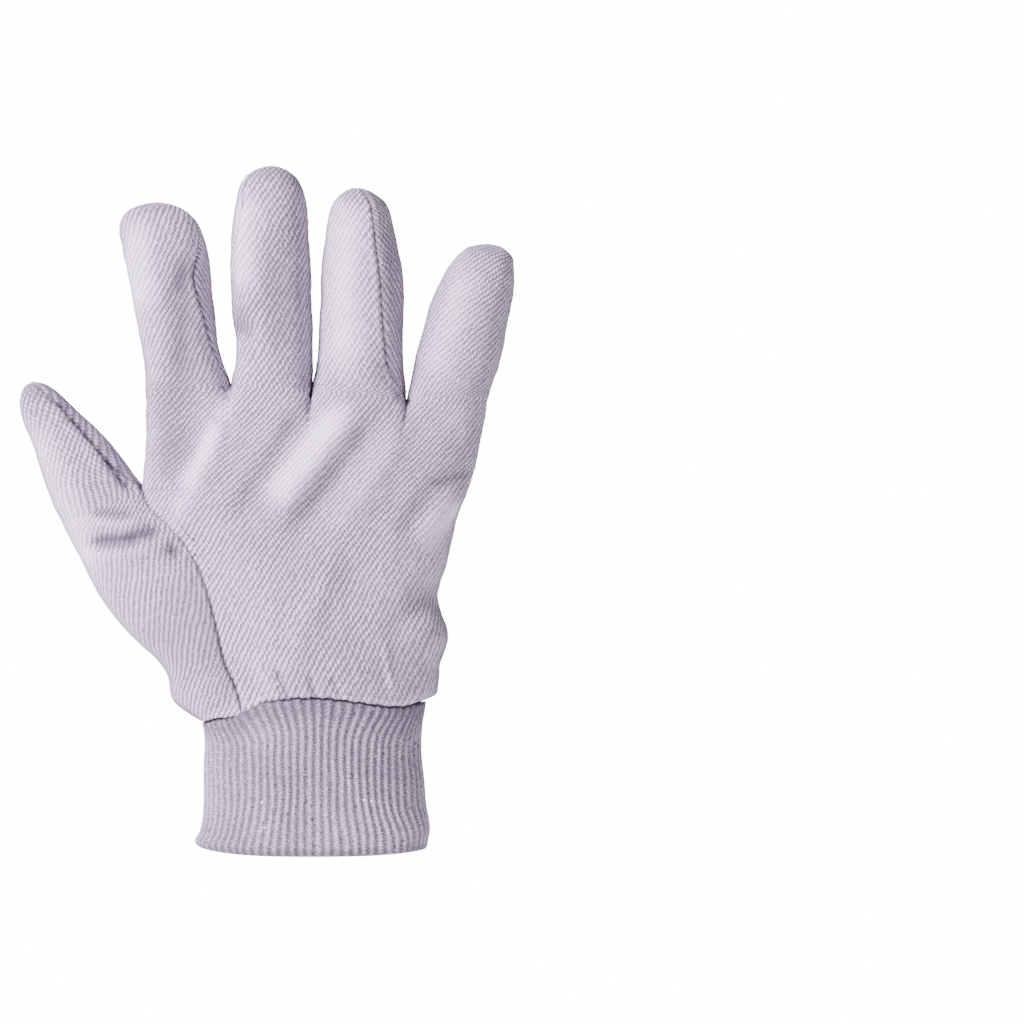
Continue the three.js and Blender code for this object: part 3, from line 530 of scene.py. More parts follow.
class Curve:
    """A smooth curve through one column of a table."""

    def __init__(self, places: list[float], values: list[float]) -> None:
        """Keeps the points and the slope at each.

        Args:
            places: The at column.
            values: The column that the curve follows.
        """
        self.places = np.array(places, float)
        self.values = np.array(values, float)
        last = len(places) - 1
        before = np.maximum(np.arange(last + 1) - 1, 0)
        after = np.minimum(np.arange(last + 1) + 1, last)
        rise = self.values[after] - self.values[before]
        self.slopes = rise / (self.places[after] - self.places[before])

    def __call__(self, at: Values) -> Values:
        """Follows the curve.

        Args:
            at: One place or an array of them.

        Returns:
            The curve's value at each.
        """
        held = np.clip(at, self.places[0], self.places[-1])
        i = np.clip(np.searchsorted(self.places, held, side="left") - 1, 0, len(self.places) - 2)
        span = self.places[i + 1] - self.places[i]
        t = (held - self.places[i]) / span
        t2 = t * t
        t3 = t2 * t
        return (
            (2 * t3 - 3 * t2 + 1) * self.values[i]
            + (t3 - 2 * t2 + t) * span * self.slopes[i]
            + (3 * t2 - 2 * t3) * self.values[i + 1]
            + (t3 - t2) * span * self.slopes[i + 1]
        )


def curves(rows: list[SimpleNamespace]) -> SimpleNamespace:
    """All columns of a table as smooth curves.

    Args:
        rows: The table, with an at column.

    Returns:
        A namespace with a curve for each other column.
    """
    places = [row.at for row in rows]
    names = [name for name in vars(rows[0]) if name != "at"]
    return SimpleNamespace(**{name: Curve(places, [getattr(row, name) for row in rows]) for name in names})


def rounded(curve: Curve, at: float) -> float:
    """A curve's value, drawn round like an arc over its last step.

    Args:
        curve: The curve of a half width or depth.
        at: The place on it.

    Returns:
        The value, which ends at the curve's last one.
    """
    knee, end = curve.places[-2], curve.places[-1]
    if at <= knee:
        return float(curve(at))
    share = math.sqrt(max((end - at) / (end - knee), 0))
    return float(curve.values[-1] + (curve.values[-2] - curve.values[-1]) * share)


def crowded(count: int, draw: float = 0.75) -> np.ndarray:
    """Shares from 0 to 1 that lie closer together towards both ends.

    Args:
        count: The number of steps.
        draw: How strongly they are drawn to the ends, from 0 to 1.

    Returns:
        The shares, one more than count.
    """
    even = np.linspace(0, 1, count + 1)
    return even - draw * np.sin(2 * np.pi * even) / (2 * np.pi)


def arc_from(points: np.ndarray, centre: int, weights: np.ndarray) -> np.ndarray:
    """Lengths along a row from its centre, where weights say how far its depth counts.

    Args:
        points: The row's points.
        centre: The index of the point that has length 0.
        weights: A share for each step between points.

    Returns:
        The signed length at each point.
    """
    step = np.diff(points, axis=0)
    flat = step[:, 0] ** 2 + weights * (step[:, 1] ** 2 + step[:, 2] ** 2)
    run = running(np.sqrt(flat))
    return run - run[centre]


def grid_places(vertices: list[bmesh.types.BMVert], rows: int, columns: int) -> dict:
    """Finds where the points of a new grid of size 1 lie in it.

    Args:
        vertices: The grid's points.
        rows: The number of steps up.
        columns: The number of steps across.

    Returns:
        The row and column of each point.
    """
    return {
        vertex: (round((vertex.co.y + 1) / 2 * rows), round((vertex.co.x + 1) / 2 * columns))
        for vertex in vertices
    }


def as_object(piece: bmesh.types.BMesh, name: str) -> bpy.types.Object:
    """Makes a smooth object, in metres, of a piece in millimetres.

    Args:
        piece: The piece, which is used up.
        name: The name of the object and its mesh.

    Returns:
        The object.
    """
    bmesh.ops.scale(piece, vec=(MM, MM, MM), verts=piece.verts)
    mesh = bpy.data.meshes.new(name)
    piece.to_mesh(mesh)
    piece.free()
    mesh.shade_smooth()
    obj = bpy.data.objects.new(name, mesh)
    bpy.context.scene.collection.objects.link(obj)
    return obj


@dataclass
class HandShape:
    """The outer surface of the glove's body, worked out as in the part's source."""

    cuff_height: float = 55.4
    cuff_width: float = 79
    cuff_depth: float = 38
    hand_height: float = 107
    palm_depth: float = 40
    web_depth: float = 24
    crotch_height: float = 73
    thumb_length: float = 50.5
    thumb_width: float = 32
    thumb_depth: float = 26
    thumb_lean: float = 31
    thumb_forward: float = 5
    thumb_curl: float = 7
    thumb_curl_power: float = 1.5
    finger_curl: float = 7
    finger_curl_power: float = 1.7
    seam_sink: float = 1.6
    oval_power: float = 2.3
    finger_power: float = 2.15
    edge_power: float = 4
    root_settle: float = 0.08
    finger_settle: float = 0.12
    thumb_settle: float = 0.3
    forward_settle: float = 0.3
    crotch_tie: float = 0.1
    crotch_near: float = 0.35
    root_start_depth: float = 0.4
    root_pull_from: float = 0.6
    thumb_back_start: float = 20
    seam_wobble: float = 0.3
    seam_waves: tuple[Triple, ...] = ((0.6, 1.1, 0.6), (0.4, 2.7, 0))
    seam_rise: float = 0.15
    seam_fall: float = 0.2
    seam_follow: float = 0.5
    crotch_follow: float = 0.6
    follow_fade: float = 0.25
    edge_fade: float = 0.3
    crotch_fade: float = 0.1
    cuff_fade: float = 0.3

    def __post_init__(self) -> None:
        """Works out the roots of the fingers, the thumb's crotch and the ends of its seams."""
        self.half_hand = sum(finger.base for finger in FINGERS) / 2
        self.crotch_share = self.crotch_height / self.hand_height
        self.hand = curves(HAND_ROWS)
        self.root = curves(THUMB_ROOT_ROWS)
        self.thumb = curves(THUMB_ROWS)
        self.cuff_seam = curves(CUFF_SEAM_ROWS)
        self.outlines = {name: curves(rows) for name, rows in FINGER_OUTLINES.items()}
        self.turns = {name: curves(rows) for name, rows in SEAM_TURNS.items()}
        self.roots = self.root_points()
        self.crotch_level = self.thumb_level(1)
        self.crotch = self.ring_points(self.crotch_level, self.crotch_level.turn)
        seam = abs(THUMB_ROOT_ROWS[0].seam) * self.half_hand / (self.cuff_width / 2)
        self.wrist_seams = {
            Side.FRONT: math.pi - math.acos(seam ** (self.oval_power / 2)),
            Side.BACK: math.pi + math.radians(self.thumb_back_start),
        }

    def cuff_seam_height(self, x: Values, y: Values) -> Values:
        """The height of the cuff seam over the hem.

        Args:
            x: Places across the wrist.
            y: Their depths, which tell the front from the back.

        Returns:
            The height at each place.
        """
        share = np.clip(x / (self.cuff_width / 2), -1, 1)
        blend = ease(0.5 + y / (self.cuff_depth / 2))
        drop = mix(self.cuff_seam.front(share), self.cuff_seam.back(share), blend)
        wobble = sum(high * np.sin(rate * x + start) for high, rate, start in self.seam_waves)
        return self.cuff_height * (1 - drop) + self.seam_wobble * wobble

    def over_seam(self, places: np.ndarray) -> np.ndarray:
        """How far places lie above the cuff seam."""
        return places[:, 2] - self.cuff_seam_height(places[:, 0], places[:, 1])

    def root_points(self) -> list[tuple[float, float]]:
        """Works out the webs between the fingers and the outer ends of the roots.

        Returns:
            The x and z of each, from the thumb side to the outer side.
        """
        points = []
        x = float(self.hand.left(1)) * self.half_hand
        web = 0.0
        for finger in FINGERS:
            points.append((x, self.cuff_height + self.hand_height + web))
            x += finger.base
            web = finger.web
        points.append((x, self.cuff_height + self.hand_height + web))
        return points

    def thumb_level(self, at: float) -> SimpleNamespace:
        """Works out one level across the thumb below its crotch.

        Args:
            at: The share of the crotch's height.

        Returns:
            The level's ring and the angles of its seams.
        """
        seam = np.array([self.root.seam(at) * self.half_hand, self.root.seam_up(at) * self.crotch_height])
        edge = np.array([self.root.edge(at) * self.half_hand, self.root.edge_up(at) * self.crotch_height])
        turn = math.radians(self.root.turn(at))
        span = float(np.hypot(*(seam - edge)))
        half = span / (1 + math.cos(turn))
        across = (seam - edge) / span
        return SimpleNamespace(
            turn=turn,
            back_turn=math.radians(self.root.back_turn(at)),
            half=half,
            deep=mix(self.palm_depth * self.root_start_depth, self.thumb_depth / 2, float(ease(at))),
            across=across,
            centre=edge + across * half + np.array([0, self.cuff_height]),
            forward=self.thumb_forward * float(self.root.ahead(at)),
        )

    def ring_points(self, level: SimpleNamespace, angle: Values) -> np.ndarray:
        """Finds points on the ring of a thumb level.

        Args:
            level: The level.
            angle: Angles from the inner side over the front.

        Returns:
            The point at each angle.
        """
        reach = level.half * np.cos(angle)
        return np.stack([
            level.centre[0] + level.across[0] * reach,
            -level.forward - level.deep * np.sin(angle),
            level.centre[1] + level.across[1] * reach,
        ], axis=-1)

    def hand_row(self, at: float) -> SimpleNamespace:
        """Works out the hand's oval at one height.

        Args:
            at: The share of the hand's height.

        Returns:
            The edges, the middle and the depths of the oval.
        """
        tie = math.exp(-(((at - self.crotch_share) / self.crotch_tie) ** 2))
        offset = self.crotch[0] - float(self.hand.left(self.crotch_share)) * self.half_hand
        left = float(self.hand.left(at)) * self.half_hand + offset * tie
        right = float(self.hand.right(at)) * self.half_hand
        if at > self.crotch_share:
            forward = 1 - float(ease((at - self.crotch_share) / (1 - self.crotch_share)))
        else:
            forward = float(ease(1 - (self.crotch_share - at) / self.forward_settle))
        return SimpleNamespace(
            left=left,
            right=right,
            middle=(left + right) / 2,
            half=(right - left) / 2,
            left_y=self.crotch[1] * forward,
            front=float(self.hand.front(at)) * self.palm_depth / 2,
            back=float(self.hand.back(at)) * self.palm_depth / 2,
        )

    def oval(self, row: SimpleNamespace, side: Side, x: Values) -> Values:
        """The depth of the hand's oval.

        Args:
            row: The oval.
            side: The palm or the back.
            x: Places across it.

        Returns:
            The y at each place.
        """
        share = np.clip((x - row.middle) / row.half, -1, 1)
        deep = row.front if side is Side.FRONT else row.back
        bow = deep * (1 - np.abs(share) ** self.oval_power) ** (1 / self.oval_power)
        return row.left_y * ((1 - share) / 2) ** self.edge_power + side.value * bow

    def wrist_points(self, angle: Values) -> np.ndarray:
        """Finds points of the wrist oval at the cuff seam.

        Args:
            angle: Angles from the right end over the front.

        Returns:
            The point at each angle.
        """
        x = self.cuff_width / 2 * power(np.cos(angle), self.oval_power)
        y = -self.cuff_depth / 2 * power(np.sin(angle), self.oval_power)
        return np.stack([x, y, self.cuff_seam_height(x, y)], axis=-1)

    def root_seam(self, at: float, side: Side) -> np.ndarray:
        """Finds a point of the seam at the thumb's root.

        Args:
            at: The share of the crotch's height.
            side: The seam on the palm or on the back.

        Returns:
            The point.
        """
        start = self.wrist_points(self.wrist_seams[side])
        level = self.thumb_level(at)
        point = self.ring_points(level, level.turn if side is Side.FRONT else level.back_turn)
        own = float(self.oval(self.hand_row(at * self.crotch_share), side, point[0]))
        near = float(ease(min(at / self.seam_rise, (1 - at) / self.seam_fall)))
        inside = float(ease((1 - at) / self.follow_fade))
        follow = mix(self.crotch_follow, self.seam_follow * near, inside)
        shared = mix(point[1], own, follow) - side.value * self.seam_sink * near
        place = np.array([point[0], shared, point[2]])
        return mix(start, place, float(ease(at / self.root_settle)))

    def hand_start(self, side: Side, at: float, row: SimpleNamespace) -> np.ndarray:
        """Finds where a row of the hand starts: on the thumb's seam, or at the edge above it.

        Args:
            side: The palm or the back.
            at: The share of the hand's height.
            row: The hand's oval there.

        Returns:
            The point.
        """
        if at < self.crotch_share:
            return self.root_seam(at / self.crotch_share, side)
        rise = (at - self.crotch_share) / (1 - self.crotch_share)
        return np.array([row.left, row.left_y, mix(self.crotch[2], self.roots[0][1], rise)])

    def column_ends(self, side: Side, at: float, part: int, start_x: float) -> list[float]:
        """Finds the angles on the hand's oval between which one finger's column lies.

        Args:
            side: The palm or the back.
            at: The share of the hand's height.
            part: The finger whose column it is.
            start_x: Where the row starts.

        Returns:
            The first and the last angle.
        """
        row = self.hand_row(at)
        parts = FRONT_PARTS if side is Side.FRONT else BACK_PARTS
        first_x, last_x = self.roots[0][0], self.roots[-1][0]
        ends = []
        for i in (part, part + 1):
            top = (self.roots[i][0] - first_x) / (last_x - first_x)
            inner = mix(row.left, row.right, mix(parts[i], top, float(ease(at))))
            edge = start_x if i == 0 else inner
            share = np.clip((edge - row.middle) / row.half, -1, 1)
            ends.append(float(angle_at(share, self.oval_power)))
        return ends

    def web_arch(self, side: Side, part: int, shares: np.ndarray) -> tuple[Values, Values, Values]:
        """Works out the arch of a finger's root between its two webs.

        Args:
            side: The palm or the back.
            part: The finger.
            shares: Shares across its column.

        Returns:
            The x, y and z at each share.
        """
        finger = FINGERS[part]
        web_x, web_z = self.roots[part]
        next_x, next_z = self.roots[part + 1]
        angle = mix(-math.pi / 2, math.pi / 2, shares)
        reach = (1 + power(np.sin(angle), self.finger_power)) / 2
        bow = side.value * finger.depth / 2 * float(self.outlines[finger.name].deep(0))
        y = bow * power(np.clip(np.cos(angle), 0, 1), self.finger_power)
        return mix(web_x, next_x, reach), y, mix(web_z, next_z, reach)

    def hand_points(self, side: Side, at: float, part: int, shares: np.ndarray) -> np.ndarray:
        """Points of the hand in one row of a finger's column.

        Args:
            side: The palm or the back.
            at: The share of the hand's height.
            part: The finger whose column it is.
            shares: Shares across the column.

        Returns:
            An array of points.
        """
        row = self.hand_row(at)
        first_z, last_z = self.roots[0][1], self.roots[-1][1]
        start = self.hand_start(side, at, row)
        angle = mix(*self.column_ends(side, at, part, start[0]), shares)
        x = row.middle + row.half * power(np.sin(angle), self.oval_power)
        across = np.clip((x - start[0]) / (row.right - start[0]), 0, 1)
        near = 1 - float(ease(abs(at - self.crotch_share) / (self.crotch_near * self.crotch_share)))
        fade = 1 - ease(across / mix(self.edge_fade, self.crotch_fade, near))
        fix = (start[1] - float(self.oval(row, side, start[0]))) * fade
        end_z = mix(float(self.cuff_seam_height(self.cuff_width / 2, 0)), last_z, at)
        start_seam = float(self.cuff_seam_height(start[0], self.oval(row, side, start[0])))
        start_seam += at * self.hand_height
        low_z = self.cuff_seam_height(x, self.oval(row, side, x)) + at * self.hand_height
        low_z = low_z + (start[2] - start_seam) * fade
        low = 1 - float(ease(at / self.cuff_fade))
        own_z = mix(mix(start[2], end_z, across), low_z, low)
        own_y = self.oval(row, side, x) + fix

        arch_x, arch_y, arch_z = self.web_arch(side, part, shares)
        below = float(np.clip((1 - at) * self.hand_height / self.web_depth, 0, 1))
        slide = float(ease(1 - below))
        web_share = np.ones_like(shares)
        if part == 0:
            web_share = shares
        elif part == len(FINGERS) - 1:
            web_share = 1 - shares
        deepen = mix(slide, 1 - math.sqrt(1 - (1 - below) ** 2), web_share)
        return np.stack([
            mix(x, arch_x, slide),
            mix(own_y, arch_y, deepen),
            own_z + (arch_z - mix(first_z, last_z, across)) * slide,
        ], axis=-1)

    def finger_points(self, side: Side, part: int, at: float, shares: np.ndarray) -> np.ndarray:
        """Points of a finger in one row.

        Args:
            side: Its palm's side or its back.
            part: The finger.
            at: The share of its length.
            shares: Shares across the row.

        Returns:
            An array of points.
        """
        finger = FINGERS[part]
        outline = self.outlines[finger.name]
        turns = self.turns[finger.name]
        lean = math.radians(finger.lean)
        along = np.array([math.sin(lean), math.cos(lean)])
        beside = np.array([along[1], -along[0]])
        low = np.array(self.roots[part])
        high = np.array(self.roots[part + 1])
        axis = (low + high) / 2 + along * finger.length * at
        free = float(ease(at / self.finger_settle))

        def end(point: np.ndarray, share: float) -> np.ndarray:
            """One end of the row: over the web at first, then beside the axis."""
            far = axis + beside * share * finger.width / 2
            return mix(point + along * finger.length * at, far, free)

        left = end(low, -rounded(outline.left, at))
        right = end(high, rounded(outline.right, at))
        start = -math.pi / 2 - side.value * math.radians(max(float(turns.left(at)), 0))
        stop = math.pi / 2 + side.value * math.radians(max(float(turns.right(at)), 0))
        angle = mix(start, stop, shares)
        reach = (1 + power(np.sin(angle), self.finger_power)) / 2
        depth = max(rounded(outline.deep, at), 0) * finger.depth / 2
        curl = self.finger_curl * at ** self.finger_curl_power
        return np.stack([
            mix(left[0], right[0], reach),
            side.value * depth * power(np.cos(angle), self.finger_power) - curl,
            mix(left[1], right[1], reach),
        ], axis=-1)

    def finger_centre(self, side: Side, part: int, at: float) -> float:
        """Finds the share across a finger's row at which its middle lies.

        Args:
            side: Its palm's side or its back.
            part: The finger.
            at: The share of its length.

        Returns:
            The share.
        """
        turns = self.turns[FINGERS[part].name]
        quarter = 90
        start = -quarter - side.value * max(float(turns.left(at)), 0)
        stop = quarter + side.value * max(float(turns.right(at)), 0)
        return -start / (stop - start)

    def thumb_root_points(self, side: Side, at: float, shares: np.ndarray) -> np.ndarray:
        """Points of the thumb's root in one row, between the two seams round it.

        Args:
            side: Its palm's side or its back.
            at: The share of the crotch's height.
            shares: Shares across the row.

        Returns:
            An array of points.
        """
        level = self.thumb_level(at)
        outer = mix(math.pi, math.pi + level.turn, float(ease(at)))
        front = side is Side.FRONT
        ring_from = level.turn if front else outer
        ring_to = outer if front else level.back_turn
        wrist_from = self.wrist_seams[Side.FRONT] if front else math.pi
        wrist_to = math.pi if front else self.wrist_seams[Side.BACK]
        settle = float(ease(at / self.root_settle))
        ring = self.ring_points(level, mix(ring_from, ring_to, shares))
        point = mix(self.wrist_points(mix(wrist_from, wrist_to, shares)), ring, settle)
        own = mix(
            self.wrist_points(wrist_from if front else wrist_to),
            self.ring_points(level, level.turn if front else level.back_turn),
            settle,
        )
        near = 1 - shares if front else shares
        pull = ease((near - self.root_pull_from) / (1 - self.root_pull_from))
        return point + (self.root_seam(at, side) - own) * pull[:, None]

    def free_thumb_points(self, side: Side, at: float, shares: np.ndarray) -> np.ndarray:
        """Points of the free thumb in one row.

        Args:
            side: Its palm's side or its back.
            at: The share of its length.
            shares: Shares across the row.

        Returns:
            An array of points.
        """
        turn = math.radians(float(self.thumb.turn(at)))
        angle = (turn if side is Side.FRONT else turn + math.pi) + math.pi * shares
        lean = math.radians(self.thumb_lean)
        level = self.crotch_level
        settle = float(ease(at / self.thumb_settle))
        tilt = mix(math.atan2(level.across[1], level.across[0]), lean, settle)
        half = rounded(self.thumb.half, at) * mix(level.half, self.thumb_width / 2, settle)
        reach = half * np.cos(angle)
        deep = rounded(self.thumb.deep, at) * self.thumb_depth / 2
        curl = self.thumb_curl * at ** self.thumb_curl_power
        return np.stack([
            level.centre[0] - math.sin(lean) * self.thumb_length * at + math.cos(tilt) * reach,
            -self.thumb_forward - curl - deep * np.sin(angle),
            level.centre[1] + math.cos(lean) * self.thumb_length * at + math.sin(tilt) * reach,
        ], axis=-1)


class Net:
    """The whole body as one net of quads, with its panels and its pattern marked on the faces."""

    def __init__(self) -> None:
        """Starts an empty net with its layers."""
        self.mesh = bmesh.new()
        self.panel = self.mesh.faces.layers.int.new("panel")
        self.uv = self.mesh.loops.layers.uv.new("pattern")
        # painted light and shade of each point, which also wears the weave flatter where it lightens
        self.nap = self.mesh.verts.layers.float.new("nap")
        # painted shade along the seam lines
        self.mesh.verts.layers.float.new("seam")

    def lay(self, panel: Panel, points: np.ndarray, pattern: np.ndarray, flip: bool) -> None:
        """Adds a grid and moves it to its place.

        Args:
            panel: The piece of cloth that it belongs to.
            points: Points by row and column.
            pattern: Pattern coordinates by row and column, in millimetres of cloth.
            flip: Whether the grid has to be turned to face outwards.
        """
        rows, columns = points.shape[0] - 1, points.shape[1] - 1
        made = bmesh.ops.create_grid(self.mesh, x_segments=columns, y_segments=rows, size=1)
        places = grid_places(made["verts"], rows, columns)
        faces = list({face for vertex in made["verts"] for face in vertex.link_faces})
        number = PANELS.index(panel)
        for face in faces:
            face[self.panel] = number
            for loop in face.loops:
                loop[self.uv].uv = pattern[places[loop.vert]] * UV_SCALE
        for vertex, place in places.items():
            vertex.co = points[place]
        if flip:
            bmesh.ops.reverse_faces(self.mesh, faces=faces)

    def merge(self, distance: float = 0.02) -> None:
        """Joins the grids where they meet.

        Args:
            distance: How close two points have to be to become one.
        """
        bmesh.ops.remove_doubles(self.mesh, verts=self.mesh.verts, dist=distance)
        bmesh.ops.dissolve_degenerate(self.mesh, dist=distance / 4, edges=self.mesh.edges)
        self.mesh.normal_update()

    def places(self) -> np.ndarray:
        """The places of all points."""
        return np.array([vertex.co for vertex in self.mesh.verts])

    def normals(self) -> np.ndarray:
        """The outward direction at all points."""
        self.mesh.normal_update()
        return np.array([vertex.normal for vertex in self.mesh.verts])

    def move(self, places: np.ndarray) -> None:
        """Moves all points."""
        for vertex, place in zip(self.mesh.verts, places):
            vertex.co = place


@dataclass
class Cloth:
    """The cloth body: its net, its folds and its cut pieces."""

    shape: HandShape = field(default_factory=HandShape)
    columns: int = 40
    thumb_columns: int = 46
    low_rows: int = 78
    high_rows: int = 40
    finger_rows: int = 84
    thumb_rows: int = 62
    row_draw: float = 0.5
    tip_crowding: float = 1.6
    round_from: float = 0.78
    round_over: float = 0.22
    climb_steps: int = 400
    wall: float = 1.5
    smoothing: float = 0.5
    depth_rounds: int = 24
    crotch_rounds: int = 14
    crotch_reach: float = 12
    last_rounds: int = 5
    pull_clear: float = 4
    facing_start: float = 0.1
    facing_gain: float = 1.6
    fold_scale: float = 1.4
    fold_past: float = 0.15
    fold_fade: float = 0.35
    # how much of the folds' lift is painted as light on their ridges and as shade in their hollows, and
    # its limit
    nap_share: float = 0.22
    nap_most: float = 2
    wave_height: float = 0.6
    wave_length: float = 15
    crease_height: float = 0.2
    crease_length: float = 5
    crease_shift: Triple = (7, 3, 1)
    gather_height: float = 0.44
    gather_reach: float = 7
    gather_length: float = 3.4
    gather_rise: float = 14
    gather_least: float = 0.02
    rim_parts: int = 6
    tuck_reach: float = 1.2
    tuck_depth: float = 0.8
    mark_limit: float = 3
    mark_reach: float = 0.5
    mark_power: float = 4
    cuff_edge: float = 2.5
    # how far the cloth's edge turns in at the cuff seam, and how much painted shade darkens it
    cuff_mark: tuple[float, float] = (0.7, 0.6)
    side_split: float = 1
    line_reach: float = 0.45
    pucker_length: float = 2.3
    pucker_height: float = 0.2
    pucker_share: float = 0.3
    lip_place: float = 1.7
    lip_reach: float = 0.8
    lip_height: float = 0.16
    # painted highlight on the raised lip beside each seam, at least lip_least of it
    lip_nap: float = 0.5
    lip_least: float = 0.3
    tip_edges: int = 12
    most_peak: float = 0.8

    def __post_init__(self) -> None:
        """Keeps the tables of the seams as arrays of place, depth and painted shade, and that of the
        twill.
        """
        self.front_marks = np.array([list(vars(row).values()) for row in FRONT_SEAMS], float)
        self.back_marks = np.array([list(vars(row).values()) for row in BACK_SEAMS], float)
        self.twill = curves(TWILL_ROWS)

    def build(self) -> dict[Panel, bpy.types.Object]:
        """Builds the body and cuts it into its pieces.

        Returns:
            The object of each panel.
        """
        net = self.lay_out()
        net.merge()
        self.settle(net)
        self.pull(net)
        self.fold(net)
        return self.cut(net)

    def lay_out(self) -> Net:
        """Lays out the grids of the hand, the fingers and the thumb.

        Returns:
            The net, with its grids not yet joined.
        """
        net = Net()
        low = crowded(self.low_rows, self.row_draw) * self.shape.crotch_share
        high = mix(self.shape.crotch_share, 1, crowded(self.high_rows, self.row_draw))
        hand_shares = np.concatenate([low, high[1:]])
        for side in Side:
            for part in range(len(FINGERS)):
                self.lay_finger(net, side, part, hand_shares)
            self.lay_thumb(net, side, low / self.shape.crotch_share)
        return net

    def towards_tip(self, rows: int) -> np.ndarray:
        """Shares of a finger's length, closer together towards its tip."""
        return 1 - (1 - np.linspace(0, 1, rows + 1)) ** self.tip_crowding

    def lay_finger(self, net: Net, side: Side, part: int, hand_shares: np.ndarray) -> None:
        """Lays out one side of a finger and of the hand below it.

        Args:
            net: The net that they are added to.
            side: The palm's side or the back.
            part: The finger.
            hand_shares: The shares of the hand's height at which it has rows.
        """
        panel = Panel.PALM if side is Side.FRONT else BACK_PANELS[part]
        across = crowded(self.columns)
        shares = self.towards_tip(self.finger_rows)
        hand = np.array([self.shape.hand_points(side, at, part, across) for at in hand_shares])
        finger = np.array([self.shape.finger_points(side, part, at, across) for at in shares])
        centres = np.array([self.shape.finger_centre(side, part, at) for at in shares])
        pattern = self.finger_pattern(finger, across, centres, FINGERS[part].weave)
        flip = side is Side.BACK
        net.lay(panel, hand, self.hand_pattern(hand, hand_shares, part), flip)
        net.lay(panel, finger, pattern, flip)

    def lay_thumb(self, net: Net, side: Side, root_shares: np.ndarray) -> None:
        """Lays out one side of the thumb, from the cuff to its tip.

        Args:
            net: The net that it is added to.
            side: The palm's side or the back.
            root_shares: The shares of the crotch's height at which its root has rows.
        """
        panel = Panel.THUMB_FRONT if side is Side.FRONT else Panel.THUMB_BACK
        across = crowded(self.thumb_columns)
        shares = self.towards_tip(self.thumb_rows)
        root = np.array([self.shape.thumb_root_points(side, at, across) for at in root_shares])
        free = np.array([self.shape.free_thumb_points(side, at, across) for at in shares])
        points = np.concatenate([root, free[1:]])
        middle = self.thumb_columns // 2
        spine = points[:, middle]
        weights = np.ones(self.thumb_columns)
        wide = np.array([arc_from(row, middle, weights) for row in points])
        wide *= self.twill.thumb_wide(spine[:, 2])[:, None]
        steps = np.linalg.norm(np.diff(spine, axis=0), axis=1)
        run = running(steps * self.twill.thumb(spine[:, 2])[1:])
        pattern = np.stack([-wide, np.broadcast_to(run[:, None], wide.shape)], axis=-1)
        net.lay(panel, points, pattern, True)

    def hand_pattern(self, points: np.ndarray, shares: np.ndarray, part: int) -> np.ndarray:
        """Pattern coordinates of a column of the hand: flat inside, round at its outer edge.

        Args:
            points: Points by row and column.
            shares: The share of the hand's height of each row.
            part: The finger whose column it is.

        Returns:
            The coordinates by row and column.
        """
        middle = self.columns // 2
        rows = []
        for at, row in zip(shares, points):
            weights = np.full(self.columns, float(ease((at - self.round_from) / self.round_over)))
            if part == 0:
                weights[:middle] = 1
            elif part == len(FINGERS) - 1:
                weights[middle:] = 1
            wide = arc_from(row * LEVEL, middle, weights) + row[middle, 0]
            rows.append(np.stack([wide, self.climb(row[:, 2])], axis=-1))
        return np.array(rows)

    def climb(self, height: np.ndarray) -> np.ndarray:
        """Finds how far the pattern of the palm has run up.

        Args:
            height: Heights over the hem.

        Returns:
            The run of the pattern at each.
        """
        levels = np.linspace(TWILL_ROWS[0].at, TWILL_ROWS[-1].at, self.climb_steps)
        rates = self.twill.palm(levels)
        run = running((rates[1:] + rates[:-1]) / 2 * np.diff(levels))
        return np.interp(height, levels, run) + np.maximum(height - levels[-1], 0)

    def finger_pattern(self, points: np.ndarray, across: np.ndarray, centres: np.ndarray,
                       weave: float) -> np.ndarray:
        """Pattern coordinates of a finger: round about its axis and along it.

        Args:
            points: Points by row and column.
            across: The share of each column.
            centres: The share of the finger's middle in each row.
            weave: How much finer the cords are than on the hand.

        Returns:
            The coordinates by row and column.
        """
        middle = self.columns // 2
        up = running(np.linalg.norm(np.diff(points[:, middle], axis=0), axis=1))
        wide = np.array([arc_from(row * LEVEL, middle, np.ones(self.columns)) for row in points])
        offsets = np.array([np.interp(share, across, row) for share, row in zip(centres, wide)])
        root = points[0]
        return np.stack([
            (wide - offsets[:, None]) * weave + root[middle, 0],
            np.broadcast_to(self.climb(root[:, 2]), wide.shape) + up[:, None] * weave,
        ], axis=-1)

    def settle(self, net: Net) -> None:
        """Evens out the net: its depth everywhere, the crotch, and all of it a little.

        Args:
            net: The net.
        """
        inner = [vertex for vertex in net.mesh.verts if not vertex.is_boundary]
        self.smooth(net, inner, self.depth_rounds, False)
        crotch = Vector(self.shape.crotch)
        near = [vertex for vertex in inner if (vertex.co - crotch).length < self.crotch_reach]
        self.smooth(net, near, self.crotch_rounds, True)
        self.smooth(net, inner, self.last_rounds, True)

    def smooth(self, net: Net, vertices: list[bmesh.types.BMVert], rounds: int, every_way: bool) -> None:
        """Moves points towards the middle of their neighbours.

        Args:
            net: The net.
            vertices: Its points that move.
            rounds: How often they do.
            every_way: Whether they move every way or only in depth.
        """
        for _ in range(rounds):
            bmesh.ops.smooth_vert(
                net.mesh, verts=vertices, factor=self.smoothing,
                use_axis_x=every_way, use_axis_y=True, use_axis_z=every_way,
            )

    def pull(self, net: Net) -> None:
        """Moves the cloth where its outline has to be corrected.

        Args:
            net: The net.
        """
        places = net.places()
        moved = places.copy()
        held = ease(self.shape.over_seam(places) / self.pull_clear)
        for row in PULLS:
            away = np.hypot(places[:, 0] - row.x, places[:, 2] - row.z)
            share = np.exp(-((away / row.reach) ** 2)) * held
            moved[:, 0] += row.by_x * share
            moved[:, 2] += row.by_z * share
        net.move(moved)

